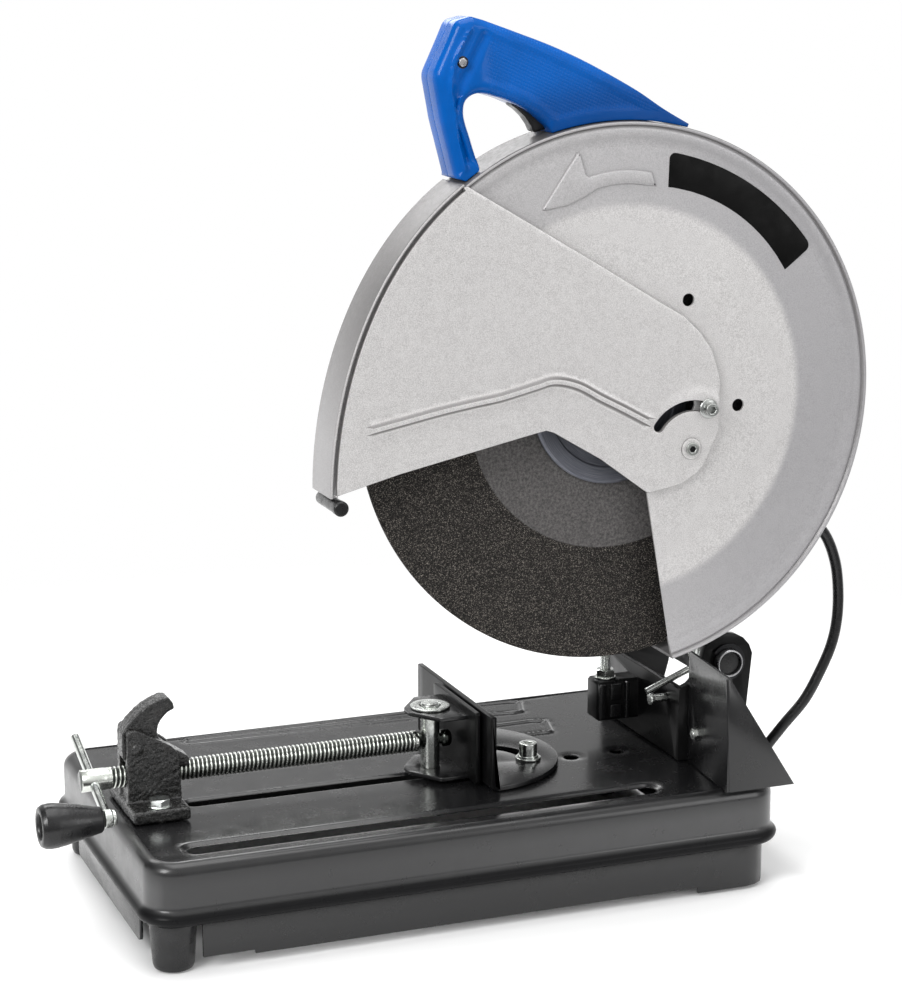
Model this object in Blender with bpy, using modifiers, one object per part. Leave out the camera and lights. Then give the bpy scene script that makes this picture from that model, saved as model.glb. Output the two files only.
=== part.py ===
"""Abrasive chop saw, 355 mm wheel, built as an assembly of separate pieces.

Frame: +Z up, X along the base with -X at the operator's end (vise crank and
handle, "front") and +X at the pivot end ("rear"), -Y on the open side of the
wheel guard ("near") and +Y on the motor side ("far"). The origin is on the
ground under the middle of the whole machine. Layout figures are in millimetres
from the middle of the base; point() turns them into metres in the frame.
"""

import math

import bmesh
import bpy
import numpy as np
from mathutils import Matrix, Vector

MM = 0.001
GAP = 0.3               # clearance between neighbouring pieces

# ---------------------------------------------------------------- dimensions
# Base
BASE_MID_X = -22.3      # middle of the base in the object's frame
BED_Z = 75.0            # top of the pressed base above the ground
SEAT_Z = BED_Z + GAP    # underside of the pieces that stand on the base
BASE_FRONT_X, BASE_REAR_X = -223.5, 227.5
BASE_HALF_W = 131.5
BASE_CORNER_R = 22.0    # plan radius of the corners
SHEET_T = 2.5
BEAD_Z, BEAD_R = 39.0, 6.0          # rolled bead round the foot of the walls
BEAD_INSET = 1.5        # from the outside of the walls to the bead's middle
SKIRT_TOP = BEAD_Z - BEAD_R - GAP
PAN_CUT = (BED_Z - 8, BED_Z + 5)    # heights of the cutters through the top sheet

# Wheel
WHEEL_X, WHEEL_Y, WHEEL_Z = WHEEL_C = (105.0, -102.0, 351.0)
WHEEL_XZ = (WHEEL_X, WHEEL_Z)
WHEEL_R = 177.5
WHEEL_T = 3.2
BORE_R = 12.7
FLANGE_R = 57.0
FLANGE_FACE = WHEEL_T / 2 + GAP     # flange face from the middle of the wheel

# Chop pivot, along Y
PIVOT_X, PIVOT_Z = PIVOT = (219.7, 145.2)
SHAFT_R = 10.0

# Guard
GUARD_R = 183.7
GUARD_NEAR_Y, GUARD_FAR_Y = -122.0, -86.0
GUARD_T = 2.0
COVER_NEAR_Y, COVER_FAR_Y = -125.2, -123.2
COVER_PIVOT = (154.2, 317.7)        # x, z
COVER_BOLT = (166.2, 344.0)

# Gears, and the motor they place
MODULE = 2.0
GEAR_TEETH, PINION_TEETH = 38, 10
GEAR_NEAR_Y, GEAR_FAR_Y = -57.5, -46.0
CENTRES = MODULE * (GEAR_TEETH + PINION_TEETH) / 2
MOTOR_ANGLE = math.radians(38.2)    # of the motor above the wheel, in XZ
MOTOR_X = WHEEL_X + CENTRES * math.cos(MOTOR_ANGLE)
MOTOR_Z = WHEEL_Z + CENTRES * math.sin(MOTOR_ANGLE)
MOTOR_XZ = (MOTOR_X, MOTOR_Z)
MOTOR_C = (MOTOR_X, 0, MOTOR_Z)
MOTOR_R = 49.0

# Fence, vise and crank
FENCE_X = 35.5
FENCE_BOLTS = {"fence_lock_bolt": (81.5, -23.5), "fence_pivot_bolt": (48.5, -18.0)}
FENCE_PIVOT = FENCE_BOLTS["fence_pivot_bolt"]
SCREW_Y, SCREW_Z = SCREW_YZ = (-16.0, 99.0)
SCREW_R = 7.6
JAW_PIN_X = 9.7
JAW_PIN = (JAW_PIN_X, SCREW_Y)
JAW_X = 31.5            # rear face of the jaw
VISE_BOLTS = {"near": (-193.0, SCREW_Y - 25), "far": (-193.0, SCREW_Y + 25)}
LEVER_PIN = (-204.5, 121.0)         # x, z
BAR_X = -232.5
BAR_FAR, BAR_NEAR = Vector((31.5, 114.5)), Vector((-53.0, 87.0))   # bar ends in YZ
BAR_DIR = (BAR_FAR - BAR_NEAR).normalized()
KNOB_YZ = BAR_NEAR - BAR_DIR * 4.5
KNOB_REAR_X, KNOB_FRONT_X = -236.2, -278.0

# Pivot bracket
WEB_X = 182.7           # front face of the web
EAR_NEAR_Y, EAR_FAR_Y = -59.0, 73.0
STOP_BOLT = (160.5, 18.0)           # x, y
LOCK_PIN = (-38.0, 117.0)           # y, z
DEFLECTOR_BOLT = (-76.0, 100.0)     # y, z

# Controls
LOCK_BUTTON = (WHEEL_X - 6, -51.5)  # x, y
HANDLE_NEAR_Y, HANDLE_FAR_Y = WHEEL_Y - 15.5, WHEEL_Y + 15.5
HANDLE_SCREW = (-6.5, 574.0)        # x, z
TRIGGER_PIVOT = (64.0, 553.0)       # x, z

# ---------------------------------------------------------------- scene
for old in list(bpy.data.objects):
    bpy.data.objects.remove(old)

scene_root = bpy.context.scene.collection
pieces = bpy.data.collections.new("abrasive_chop_saw")
cutters = bpy.data.collections.new("cutters")
scene_root.children.link(pieces)
scene_root.children.link(cutters)

# name: (base colour, roughness, metallic)
MATERIALS = {
    "black_enamel": ((0.012, 0.012, 0.013), 0.28, 0.0),
    "silver_paint": ((0.56, 0.55, 0.55), 0.42, 0.5),
    "blue_plastic": ((0.008, 0.12, 0.62), 0.3, 0.0),
    "black_plastic": ((0.02, 0.02, 0.022), 0.5, 0.0),
    "grey_plastic": ((0.07, 0.07, 0.075), 0.5, 0.0),
    "black_rubber": ((0.015, 0.015, 0.016), 0.75, 0.0),
    "abrasive": ((0.035, 0.033, 0.03), 0.9, 0.0),
    "zinc": ((0.72, 0.74, 0.74), 0.25, 1.0),
    "steel": ((0.5, 0.5, 0.51), 0.35, 1.0),
    "cast_black": ((0.02, 0.018, 0.016), 0.4, 0.1),
    "cast_aluminium": ((0.45, 0.45, 0.46), 0.5, 0.9),
    "copper": ((0.6, 0.25, 0.12), 0.35, 1.0),
    "laminations": ((0.3, 0.3, 0.32), 0.5, 0.9),
    "carbon": ((0.03, 0.03, 0.03), 0.7, 0.0),
}
HELPER = None           # finish of the hidden solids used by the booleans


def make_material(name, colour, roughness, metallic):
    mat = bpy.data.materials.new(name)
    mat.use_nodes = True
    inputs = mat.node_tree.nodes["Principled BSDF"].inputs
    inputs["Base Color"].default_value = (*colour, 1.0)
    inputs["Roughness"].default_value = roughness
    inputs["Metallic"].default_value = metallic
    return mat


finishes = {name: make_material(name, *values) for name, values in MATERIALS.items()}


def point(x, y, z):
    """Layout millimetres to metres in the object's frame."""
    return Vector(((x + BASE_MID_X) * MM, y * MM, z * MM))


def axis_empty(name, x, y, z):
    empty = bpy.data.objects.new(name, None)
    empty.location = point(x, y, z)
    empty.empty_display_size = 0.02
    pieces.objects.link(empty)
    return empty


# Empties on the joint axes; the moving pieces are parented to them.
JOINTS = {
    "chop": (PIVOT_X, 0, PIVOT_Z),
    "wheel": WHEEL_C,
    "armature": MOTOR_C,
    "cover": (COVER_PIVOT[0], COVER_NEAR_Y, COVER_PIVOT[1]),
    "jaw": (JAW_PIN_X, *SCREW_YZ),
    "screw": (BAR_X, *SCREW_YZ),
    "half_nut": (LEVER_PIN[0], SCREW_Y, LEVER_PIN[1]),
    "knob": (BAR_X, *KNOB_YZ),
    "lock_button": (*LOCK_BUTTON, 400),
    "trigger": (TRIGGER_PIVOT[0], WHEEL_Y, TRIGGER_PIVOT[1]),
}
axes = {joint: axis_empty(joint + "_axis", *at) for joint, at in JOINTS.items()}


# ---------------------------------------------------------------- solids
def place(obj, finish, parent=None):
    """Puts an object in its collection, with its material and parent."""
    if finish is HELPER:
        cutters.objects.link(obj)
        obj.hide_render = True
        obj.display_type = "WIRE"
    else:
        pieces.objects.link(obj)
        obj.data.materials.append(finishes[finish])
        obj.data.shade_smooth()
        obj.data.set_sharp_from_angle(angle=math.radians(35))
    if parent:
        obj.parent = axes[parent]
        obj.matrix_parent_inverse = Matrix.Translation(-axes[parent].location)
    return obj


def boolean(obj, others, operation):
    for other in others:
        mod = obj.modifiers.new(operation.lower(), "BOOLEAN")
        mod.operation = operation
        mod.solver = "EXACT"
        mod.object = other
    return obj


def cut(obj, *others):
    return boolean(obj, others, "DIFFERENCE")


def join(obj, *others):
    return boolean(obj, others, "UNION")


def new_object(name, bm, matrix):
    """An object from a bmesh, which is freed."""
    mesh = bpy.data.meshes.new(name)
    bm.to_mesh(mesh)
    bm.free()
    obj = bpy.data.objects.new(name, mesh)
    obj.matrix_world = matrix
    return obj


def box(name, finish, low, high, bevel=0.0, segments=1, parent=None):
    """A block between two corners, with its edges bevelled."""
    low, high = Vector(low), Vector(high)
    bm = bmesh.new()
    bmesh.ops.create_cube(bm, size=1.0)
    bmesh.ops.scale(bm, vec=(high - low) * MM, verts=bm.verts)
    if bevel:
        bmesh.ops.bevel(bm, geom=bm.edges[:], offset=bevel * MM, segments=segments,
                        affect="EDGES", profile=0.5, clamp_overlap=True)
    obj = new_object(name, bm, Matrix.Translation(point(*((low + high) / 2))))
    return place(obj, finish, parent)


# Turns local +Z to the named axis.
AXIS_TURN = {"Z": Matrix.Identity(4),
             "Y": Matrix.Rotation(math.radians(-90), 4, "X"),
             "X": Matrix.Rotation(math.radians(90), 4, "Y")}


def rod(name, finish, radius, low, high, centre, axis="Y", segments=32,
        top_radius=None, bevel=0.0, parent=None):
    """A cylinder or cone from low to high along an axis; centre is the other two figures."""
    bm = bmesh.new()
    bmesh.ops.create_cone(bm, cap_ends=True, segments=segments, radius1=radius * MM,
                          radius2=(radius if top_radius is None else top_radius) * MM,
                          depth=(high - low) * MM)
    if bevel:
        ends = [e for e in bm.edges if len({round(v.co.z, 6) for v in e.verts}) == 1]
        bmesh.ops.bevel(bm, geom=ends, offset=bevel * MM, segments=1,
                        affect="EDGES", clamp_overlap=True)
    middle = list(centre)
    middle.insert("XYZ".index(axis), (low + high) / 2)
    obj = new_object(name, bm, Matrix.Translation(point(*middle)) @ AXIS_TURN[axis])
    return place(obj, finish, parent)


def turned(name, finish, profile, centre, axis="Y", segments=32, parent=None):
    """A turned piece: (radius, height along the axis) pairs, spun about the axis."""
    bm = bmesh.new()
    verts = [bm.verts.new((radius * MM, 0, height * MM)) for radius, height in profile]
    for a, b in zip(verts, verts[1:]):
        bm.edges.new((a, b))
    obj = new_object(name, bm, Matrix.Translation(point(*centre)) @ AXIS_TURN[axis])
    mod = obj.modifiers.new("turn", "SCREW")
    mod.steps = mod.render_steps = segments
    mod.axis = "Z"
    mod.use_merge_vertices = True
    mod.merge_threshold = 0.00001
    mod.use_smooth_shade = True
    return place(obj, finish, parent)


def raised(profile, by):
    """A turning profile moved along its axis."""
    return [(radius, height + by) for radius, height in profile]


def ring_profile(inner, outer, low, high):
    return [(inner, high), (outer, high), (outer, low), (inner, low), (inner, high)]


def curve_object(name, curve, splines, cyclic, merge):
    """Meshes a curve with the given splines, removes the curve, returns an object."""
    for points in splines:
        spline = curve.splines.new("POLY")
        spline.points.add(len(points) - 1)
        spline.use_cyclic_u = cyclic
        for target, co in zip(spline.points, points):
            target.co = (*co, 1)
    temp = bpy.data.objects.new(name + "_curve", curve)
    scene_root.objects.link(temp)
    bpy.context.view_layer.update()
    depsgraph = bpy.context.evaluated_depsgraph_get()
    mesh = bpy.data.meshes.new_from_object(temp.evaluated_get(depsgraph))
    bpy.data.objects.remove(temp)
    bpy.data.curves.remove(curve)
    bm = bmesh.new()
    bm.from_mesh(mesh)
    bmesh.ops.remove_doubles(bm, verts=bm.verts, dist=merge)
    bmesh.ops.recalc_face_normals(bm, faces=bm.faces)
    bm.to_mesh(mesh)
    bm.free()
    mesh.name = name
    return bpy.data.objects.new(name, mesh)


PLANE_TURN = {"XY": Matrix.Identity(4),
              "XZ": Matrix.Rotation(math.radians(90), 4, "X"),
              "YZ": Matrix.Rotation(math.radians(90), 4, "Z")
              @ Matrix.Rotation(math.radians(90), 4, "X")}


def flat(name, finish, outlines, low, high, plane="XZ", parent=None):
    """A flat plate from closed outlines (the first outside, the rest holes)."""
    curve = bpy.data.curves.new(name, "CURVE")
    curve.dimensions = "2D"
    curve.fill_mode = "BOTH"
    curve.extrude = (high - low) / 2 * MM
    shift = 0 if plane == "YZ" else BASE_MID_X
    splines = [[((u + shift) * MM, v * MM, 0) for u, v in outline] for outline in outlines]
    obj = curve_object(name, curve, splines, cyclic=True, merge=1e-7)
    middle = (low + high) / 2
    origin = {"XY": (0, 0, middle), "XZ": (0, middle, 0),
              "YZ": (middle + BASE_MID_X, 0, 0)}[plane]
    obj.matrix_world = Matrix.Translation(Vector(origin) * MM) @ PLANE_TURN[plane]
    return place(obj, finish, parent)


def tube(name, finish, path, radius, cyclic=False):
    """A round wire along a path of points, capped unless it closes on itself."""
    curve = bpy.data.curves.new(name, "CURVE")
    curve.dimensions = "3D"
    curve.bevel_depth = radius * MM
    curve.bevel_resolution = 2
    curve.use_fill_caps = not cyclic
    splines = [[point(*at) for at in path]]
    return place(curve_object(name, curve, splines, cyclic, merge=1e-6), finish)


# ---------------------------------------------------------------- outlines
def arc(x, y, radius, start, end, count):
    """Points on an arc, angles in degrees."""
    return [(x + radius * math.cos(math.radians(a)), y + radius * math.sin(math.radians(a)))
            for a in np.linspace(start, end, count)]


def circle(x, y, radius, count):
    return arc(x, y, radius, 0, 360 - 360 / count, count)


def stadium(x0, x1, y, width):
    """A straight slot from x0 to x1."""
    r = width / 2
    return arc(x1 - r, y, r, -90, 90, 5) + arc(x0 + r, y, r, 90, 270, 5)


def arc_slot(x, y, radius, width, start, end, count):
    """A slot along an arc, with round ends."""
    [first], [last] = arc(x, y, radius, start, start, 1), arc(x, y, radius, end, end, 1)
    r = width / 2
    return (arc(x, y, radius + r, start, end, count)
            + arc(*last, r, end, end + 180, 5)[1:-1]
            + arc(x, y, radius - r, end, start, count)
            + arc(*first, r, start + 180, start + 360, 5)[1:-1])


def fillet(corners, radii, steps=3):
    """Rounds the corners of a closed outline; radii is one radius or one for each."""
    out = []
    if isinstance(radii, (int, float)):
        radii = [radii] * len(corners)
    for i, radius in enumerate(radii):
        corner = Vector(corners[i])
        back = Vector(corners[i - 1]) - corner
        ahead = Vector(corners[(i + 1) % len(corners)]) - corner
        u, v = back.normalized(), ahead.normalized()
        if radius <= 0 or abs(u.dot(v)) > 0.9999:
            out.append(tuple(corner))
            continue
        half = math.acos(max(-1, min(1, u.dot(v)))) / 2
        # the tangent points stay inside the two edges
        reach = min(radius / math.tan(half), 0.48 * back.length, 0.48 * ahead.length)
        centre = corner + (u + v).normalized() * (reach * math.tan(half) / math.sin(half))
        start, end = corner + u * reach - centre, corner + v * reach - centre
        turn = start.angle_signed(end)
        for k in range(steps + 1):
            t = -turn * k / steps
            out.append((centre.x + start.x * math.cos(t) - start.y * math.sin(t),
                        centre.y + start.x * math.sin(t) + start.y * math.cos(t)))
    return out


def around(centre, points):
    """Points given from a centre."""
    return [(centre[0] + u, centre[1] + v) for u, v in points]


def offset(line, distance):
    """A polyline moved sideways to its left."""
    out = []
    for i, (u, v) in enumerate(line):
        before, after = Vector(line[max(i - 1, 0)]), Vector(line[min(i + 1, len(line) - 1)])
        along = (after - before).normalized()
        out.append((u - along.y * distance, v + along.x * distance))
    return out


def hull_line(centre1, radius1, centre2, radius2):
    """Outline of two circles and their outer tangents."""
    between = Vector(centre2) - Vector(centre1)
    a = math.degrees(math.atan2(between.y, between.x))
    b = math.degrees(math.acos((radius1 - radius2) / between.length))
    return (arc(*centre1, radius1, a + b, a + 360 - b, 12)
            + arc(*centre2, radius2, a - b, a + b, 12))


def gear_outline(teeth, centre, phase):
    """Outline of a spur gear with involute flanks."""
    pressure = math.radians(20)
    thinning = 0.30     # taken off the tooth at the pitch circle
    pitch_r = MODULE * teeth / 2
    base_r = pitch_r * math.cos(pressure)
    tip_r, root_r = pitch_r + 0.85 * MODULE, pitch_r - 1.15 * MODULE

    def involute(angle):
        return math.tan(angle) - angle

    half = math.pi / (2 * teeth) - thinning / (2 * pitch_r) + involute(pressure)
    flank = [(root_r, half + 0.02)]     # radius, angle from the tooth's middle
    for r in np.linspace(max(base_r, root_r + 0.2), tip_r, 3):
        flank.append((r, half - involute(math.acos(min(1, base_r / r)))))
    polar = []
    for k in range(teeth):
        middle = phase + 2 * math.pi * k / teeth
        polar += [(r, middle - t) for r, t in flank]
        polar += [(r, middle + t) for r, t in reversed(flank)]
    return around(centre, [(r * math.cos(a), r * math.sin(a)) for r, a in polar])


# ================================================================ base
def pressed_tray():
    """Inverted tray with rounded corners, drawn from one sheet."""
    height = BED_Z - BEAD_Z
    size = Vector((BASE_REAR_X - BASE_FRONT_X, 2 * BASE_HALF_W, height)) * MM
    bm = bmesh.new()
    bmesh.ops.create_cube(bm, size=1.0)
    bmesh.ops.scale(bm, vec=size, verts=bm.verts)
    upright = [e for e in bm.edges if abs(e.verts[0].co.z - e.verts[1].co.z) > 1e-4]
    bmesh.ops.bevel(bm, geom=upright, offset=BASE_CORNER_R * MM, segments=5,
                    affect="EDGES", profile=0.5)
    top = [e for e in bm.edges if all(v.co.z > 0.4 * height * MM for v in e.verts)]
    bmesh.ops.bevel(bm, geom=top, offset=8 * MM, segments=3, affect="EDGES", profile=0.5)
    bottom = [f for f in bm.faces if f.normal.z < -0.9]
    bmesh.ops.delete(bm, geom=bottom, context="FACES")
    centre = point((BASE_FRONT_X + BASE_REAR_X) / 2, 0, (BED_Z + BEAD_Z) / 2)
    tray = new_object("base_pan", bm, Matrix.Translation(centre))
    shell = tray.modifiers.new("sheet", "SOLIDIFY")
    shell.thickness = SHEET_T * MM
    shell.offset = -1
    shell.use_even_offset = True
    return place(tray, "black_enamel")


def base_pan():
    """The tray with its bead, corner gussets, slots and bolt holes."""
    pan = pressed_tray()
    front, rear = BASE_FRONT_X + BEAD_INSET, BASE_REAR_X - BEAD_INSET
    side = BASE_HALF_W - BEAD_INSET
    ring = fillet([(front, -side), (rear, -side), (rear, side), (front, side)],
                  BASE_CORNER_R - BEAD_INSET, 5)
    join(pan, tube("bead_round_walls", HELPER, [(x, y, BEAD_Z) for x, y in ring], BEAD_R, True))

    leg = 52            # of a gusset along each wall
    for end, sx, corner_x in (("f", -1, front), ("r", 1, rear)):
        for hand, sy in (("n", -1), ("f", 1)):
            corner_y = sy * side
            line = [(corner_x, corner_y), (corner_x - sx * leg, corner_y),
                    (corner_x, corner_y - sy * leg)]
            # on two corners the larger radius falls on the end of a leg
            if sx * sy < 0:
                line.reverse()
            join(pan, flat(f"gusset_{end}{hand}", HELPER, [fillet(line, [16, 2, 2])],
                           34.2, 37.4, "XY"))

    cut(pan,
        flat("wheel_slot_cut", HELPER, [stadium(-191.6, 144.0, WHEEL_Y, 13.0)], *PAN_CUT, "XY"),
        flat("screw_slot_cut", HELPER, [stadium(-168.0, 6.0, SCREW_Y, 11.0)], *PAN_CUT, "XY"))
    holes = [((117.0, -19.0), 5.6), ((153.7, -18.5), 5.6)]      # centre, radius
    holes += [(at, 4.6) for at in (*FENCE_BOLTS.values(), *VISE_BOLTS.values())]
    for i, (at, radius) in enumerate(holes):
        cut(pan, rod(f"pan_hole_{i}", HELPER, radius, *PAN_CUT, at, "Z", 16))


def front_skirt():
    """A plate across the front under the bead, with a flange at its top."""
    line = [(-86, SKIRT_TOP), (-86, 8.5), (86, 8.5), (86, SKIRT_TOP)]
    skirt = flat("front_skirt", "black_enamel", [fillet(line, [0, 4, 4, 0], 2)],
                 -220.2, -217.8, "YZ")
    flange = [(-218.5, -80), (-204, -80), (-204, 80), (-218.5, 80)]
    join(skirt, flat("front_skirt_flange", HELPER, [flange], 30.3, SKIRT_TOP, "XY"))


def rear_skirt():
    """A U of sheet round the sides and rear, relieved at the bottom."""
    corner_x, corner_y = 203.2, 107.2       # centres of the rear corners

    def u_line(radius):
        side = corner_y + radius
        return ([(-189, -side)] + arc(corner_x, -corner_y, radius, -90, 0, 5)
                + arc(corner_x, corner_y, radius, 0, 90, 5) + [(-189, side)])

    skirt = flat("rear_skirt", "black_enamel", [u_line(20) + u_line(17.8)[::-1]],
                 2.0, SKIRT_TOP, "XY")
    cut(skirt, box("skirt_relief", HELPER, (-154, -140, -5), (166, 140, 6.5)),
        box("skirt_relief_front", HELPER, (-200, -140, -5), (-153.9, 140, 9.0)))


def feet():
    profile = [(0, 33.9), (6.5, 33.9), (6.5, SKIRT_TOP), (15.6, SKIRT_TOP), (15.4, 26),
               (13.6, 3.0), (12.2, 0.6), (10.5, 0.0), (0, 0.0)]
    for end, x, half_track in (("front", -205.0, 113.0), ("rear", 196.0, 100.0)):
        for hand, side in (("near", -1), ("far", 1)):
            turned(f"foot_{end}_{hand}", "black_rubber", profile,
                   (x, side * half_track, 0), "Z", 20)


# ================================================================ fence
def fence():
    """An upright plate on a half-round foot with an adjusting slot."""
    plate = box("fence_plate", "black_enamel", (FENCE_X - 2, -72, SEAT_Z),
                (FENCE_X + 2, 72, 128.0), 0.8)
    edge_x = FENCE_X - 1.0
    line = [(edge_x, -71.5)] + arc(FENCE_X + 1, 0, 72, -90, 90, 19) + [(edge_x, 71.5)]
    slot = arc_slot(*FENCE_PIVOT, 33.6, 9.4, -12.0, 52.0, 7)
    join(plate, flat("fence_foot", HELPER, [line, slot, circle(*FENCE_PIVOT, 4.8, 14)],
                     SEAT_Z + 0.1, BED_Z + 3.3, "XY"))


def fence_bolts():
    # radius, height above the bed
    profile = [(0, 10.5), (3.2, 10.5), (3.6, 15.4), (5.9, 15.4), (6.4, 14.8), (6.4, 5.2),
               (9.0, 5.2), (9.0, 3.6), (4.0, 3.6), (4.0, -12), (0, -12)]
    for name, at in FENCE_BOLTS.items():
        turned(name, "zinc", raised(profile, BED_Z), (*at, 0), "Z", 16)


# ================================================================ vise
def vise_bracket():
    """Foot, two cheeks and a saddle for the screw, with its two bolts."""
    outside, inside = 14.0, 8       # faces of the cheeks from the screw's axis
    cheek = fillet([(-211.8, BED_Z + 1), (-211.0, 134), (-203.5, 134), (-176.0, 118),
                    (-174.0, BED_Z + 1)], [0, 7, 8, 12, 0])
    bracket = box("vise_bracket", "cast_black", (-213, SCREW_Y - 35, SEAT_Z),
                  (-174, SCREW_Y + 35, BED_Z + 9), 1.2)
    pin_reach = outside + 1.5
    join(bracket,
         flat("vise_cheek_near", HELPER, [cheek], SCREW_Y - outside, SCREW_Y - inside),
         flat("vise_cheek_far", HELPER, [cheek], SCREW_Y + inside, SCREW_Y + outside),
         box("vise_saddle", HELPER, (-210, SCREW_Y - 9, BED_Z + 6),
             (-176, SCREW_Y + 9, SCREW_Z - 1)))
    cut(bracket, rod("saddle_bore", HELPER, SCREW_R + 0.5, -230, -160, SCREW_YZ, "X", 24))
    join(bracket, rod("lever_pin", HELPER, 3.0, SCREW_Y - pin_reach, SCREW_Y + pin_reach,
                      LEVER_PIN, "Y", 12))
    for hand, at in VISE_BOLTS.items():
        name = "vise_bolt_" + hand
        cut(bracket, rod(name + "_hole", HELPER, 4.5, BED_Z - 4, BED_Z + 20, at, "Z", 12))
        bolt = rod(name, "zinc", 7.4, BED_Z + 9.4, BED_Z + 14.6, at, "Z", 6, bevel=0.8)
        join(bolt, rod(name + "_shank", HELPER, 4.0, BED_Z - 11, BED_Z + 10.5, at, "Z", 12))


def half_nut_lever():
    line = [(-213.0, 116), (-213.0, 130.5), (-205.4, 138.0), (-195.0, 148.4),
            (-183.0, 153.0), (-176.4, 144.6), (-183.3, 138.9), (-187.5, 131.0),
            (-188.2, 122.5), (-167.0, 109.5), (-167.0, 103.5), (-206.0, 103.5)]
    radii = [3, 4, 8, 8, 2, 3, 4, 4, 3, 2, 2, 4]
    lever = flat("half_nut_lever", "cast_black", [fillet(line, radii, 2)],
                 SCREW_Y - 7.6, SCREW_Y + 7.6, parent="half_nut")
    cut(lever, rod("half_nut_bore", HELPER, SCREW_R + 0.4, -230, -150, SCREW_YZ, "X", 24),
        rod("half_nut_pin_bore", HELPER, 3.3, SCREW_Y - 20, SCREW_Y + 20, LEVER_PIN, "Y", 12))


def bar_rod(name, finish, radius, near, far, **options):
    """A rod in the plane x = BAR_X between two (y, z) points."""
    length = (far - near).length
    obj = rod(name, finish, radius, -length / 2, length / 2, (0, 0), "Z", 16, **options)
    middle = (near + far) / 2
    tilt = math.atan2((far - near).x, (far - near).y)
    obj.matrix_world = (Matrix.Translation(point(BAR_X, middle.x, middle.y))
                        @ Matrix.Rotation(-tilt, 4, "X"))
    return obj


def vise_screw():
    """Screw, with a neck that turns in the jaw pin and a collar to hold it there."""
    # radius, x from the jaw pin
    rear_end = [(0, 14.5), (5.0, 14.5), (6.0, 13.5), (6.0, 8.0), (3.9, 8.0), (3.9, -7.5),
                (6.4, -8.5), (SCREW_R, -10.0)]
    # radius, x
    front_end = [(SCREW_R, -223.6), (SCREW_R, -240.0), (6.9, -240.8), (0, -240.8)]
    screw = turned("vise_screw", "zinc", raised(rear_end, JAW_PIN_X) + front_end,
                   (0, *SCREW_YZ), "X", 24, parent="screw")
    cut(screw, bar_rod("screw_cross_hole", HELPER, 3.6, BAR_NEAR + BAR_DIR * 20,
                       BAR_FAR - BAR_DIR * 30))


def crank():
    """Bar with an eye and knob bolt at its near end, and the knob."""
    bar = bar_rod("crank_bar", "zinc", 3.2, BAR_NEAR, BAR_FAR, parent="screw", bevel=0.6)
    join(bar, rod("crank_eye", HELPER, 6.0, BAR_X - 2.6, BAR_X + 2.6, KNOB_YZ, "X", 20))
    knob = (raised([(3.4, 0), (8.6, 0), (9.4, -2), (13.6, -24)], KNOB_REAR_X)
            + raised([(15.0, 9), (14.6, 3.5), (12.6, 0), (8.6, 0), (8.0, 8), (3.4, 8)],
                     KNOB_FRONT_X)
            + [(3.4, KNOB_REAR_X)])
    turned("crank_knob", "black_plastic", knob, (0, *KNOB_YZ), "X", 24, parent="knob")
    bolt = (raised([(0, 5.6), (5.0, 5.6), (5.5, 5.0), (5.5, 3.0), (3.0, 3.0)], BAR_X)
            + raised([(3.0, 7.6), (6.0, 7.6), (6.0, 3.6), (4.5, 2.6), (0, 2.6)], KNOB_FRONT_X))
    join(bar, turned("knob_bolt", HELPER, bolt, (0, *KNOB_YZ), "X", 16))


def vise_jaw():
    """A pressed clevis: a face plate and two ears round the jaw pin."""
    jaw = box("vise_jaw", "black_enamel", (JAW_X - 3.5, SCREW_Y - 41, BED_Z + 1.2),
              (JAW_X, SCREW_Y + 41, 127.5), 0.8, parent="jaw")
    ear = fillet(around((0, SCREW_Y), [(JAW_X - 1, -27), (8, -28), (-8, -6), (-8, 6),
                                       (8, 28), (JAW_X - 1, 27)]), [0, 3, 5, 5, 3, 0], 2)
    for tag, low in (("low", BED_Z + 1.3), ("top", 119.5)):
        join(jaw, flat("jaw_ear_" + tag, HELPER, [ear], low, low + 3, "XY"))
    cut(jaw, rod("jaw_pin_bore", HELPER, 7.0, BED_Z - 5, 140, JAW_PIN, "Z", 20))


def jaw_pin():
    pin = rod("jaw_pin", "zinc", 6.7, BED_Z + 1.6, 126.0, JAW_PIN, "Z", 24,
              parent="jaw", bevel=0.5)
    cut(pin, rod("pin_cross_hole", HELPER, 4.3, -20, 40, SCREW_YZ, "X", 16))
    join(pin, rod("jaw_pin_washer", HELPER, 14.0, 122.8, 124.6, JAW_PIN, "Z", 28))


# ================================================================ pivot bracket
def pivot_bracket():
    """Web across the base, an ear at each end, a floor and the stop block."""
    ear = ([(WEB_X, SEAT_Z), (WEB_X, 128), (190, 131.5), (198.5, 140)]
           + arc(*PIVOT, 21.0, 150, 12, 8) + [(236.5, 110), (227.0, SEAT_Z)])
    stop_x, stop_y = STOP_BOLT
    bracket = box("pivot_bracket", "black_enamel", (WEB_X, EAR_NEAR_Y, SEAT_Z),
                  (WEB_X + 5, EAR_FAR_Y, 129.0), 1.0)
    join(bracket,
         flat("bracket_ear_near", HELPER, [ear], EAR_NEAR_Y, EAR_NEAR_Y + 6),
         flat("bracket_ear_far", HELPER, [ear], EAR_FAR_Y - 6, EAR_FAR_Y),
         box("bracket_floor", HELPER, (WEB_X + 1, EAR_NEAR_Y + 1, SEAT_Z),
             (226, EAR_FAR_Y - 1, BED_Z + 4.3)),
         box("stop_block", HELPER, (150, stop_y - 10, 88), (WEB_X + 2, stop_y + 10, 118.5), 2.0))
    cut(bracket, rod("pivot_bore", HELPER, SHAFT_R + GAP, -90, 90, PIVOT),
        rod("stop_bolt_bore", HELPER, 4.3, 70, 130, (stop_x, stop_y), "Z", 12),
        rod("lock_pin_bore", HELPER, 3.3, 170, 200, LOCK_PIN, "X", 12))


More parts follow.
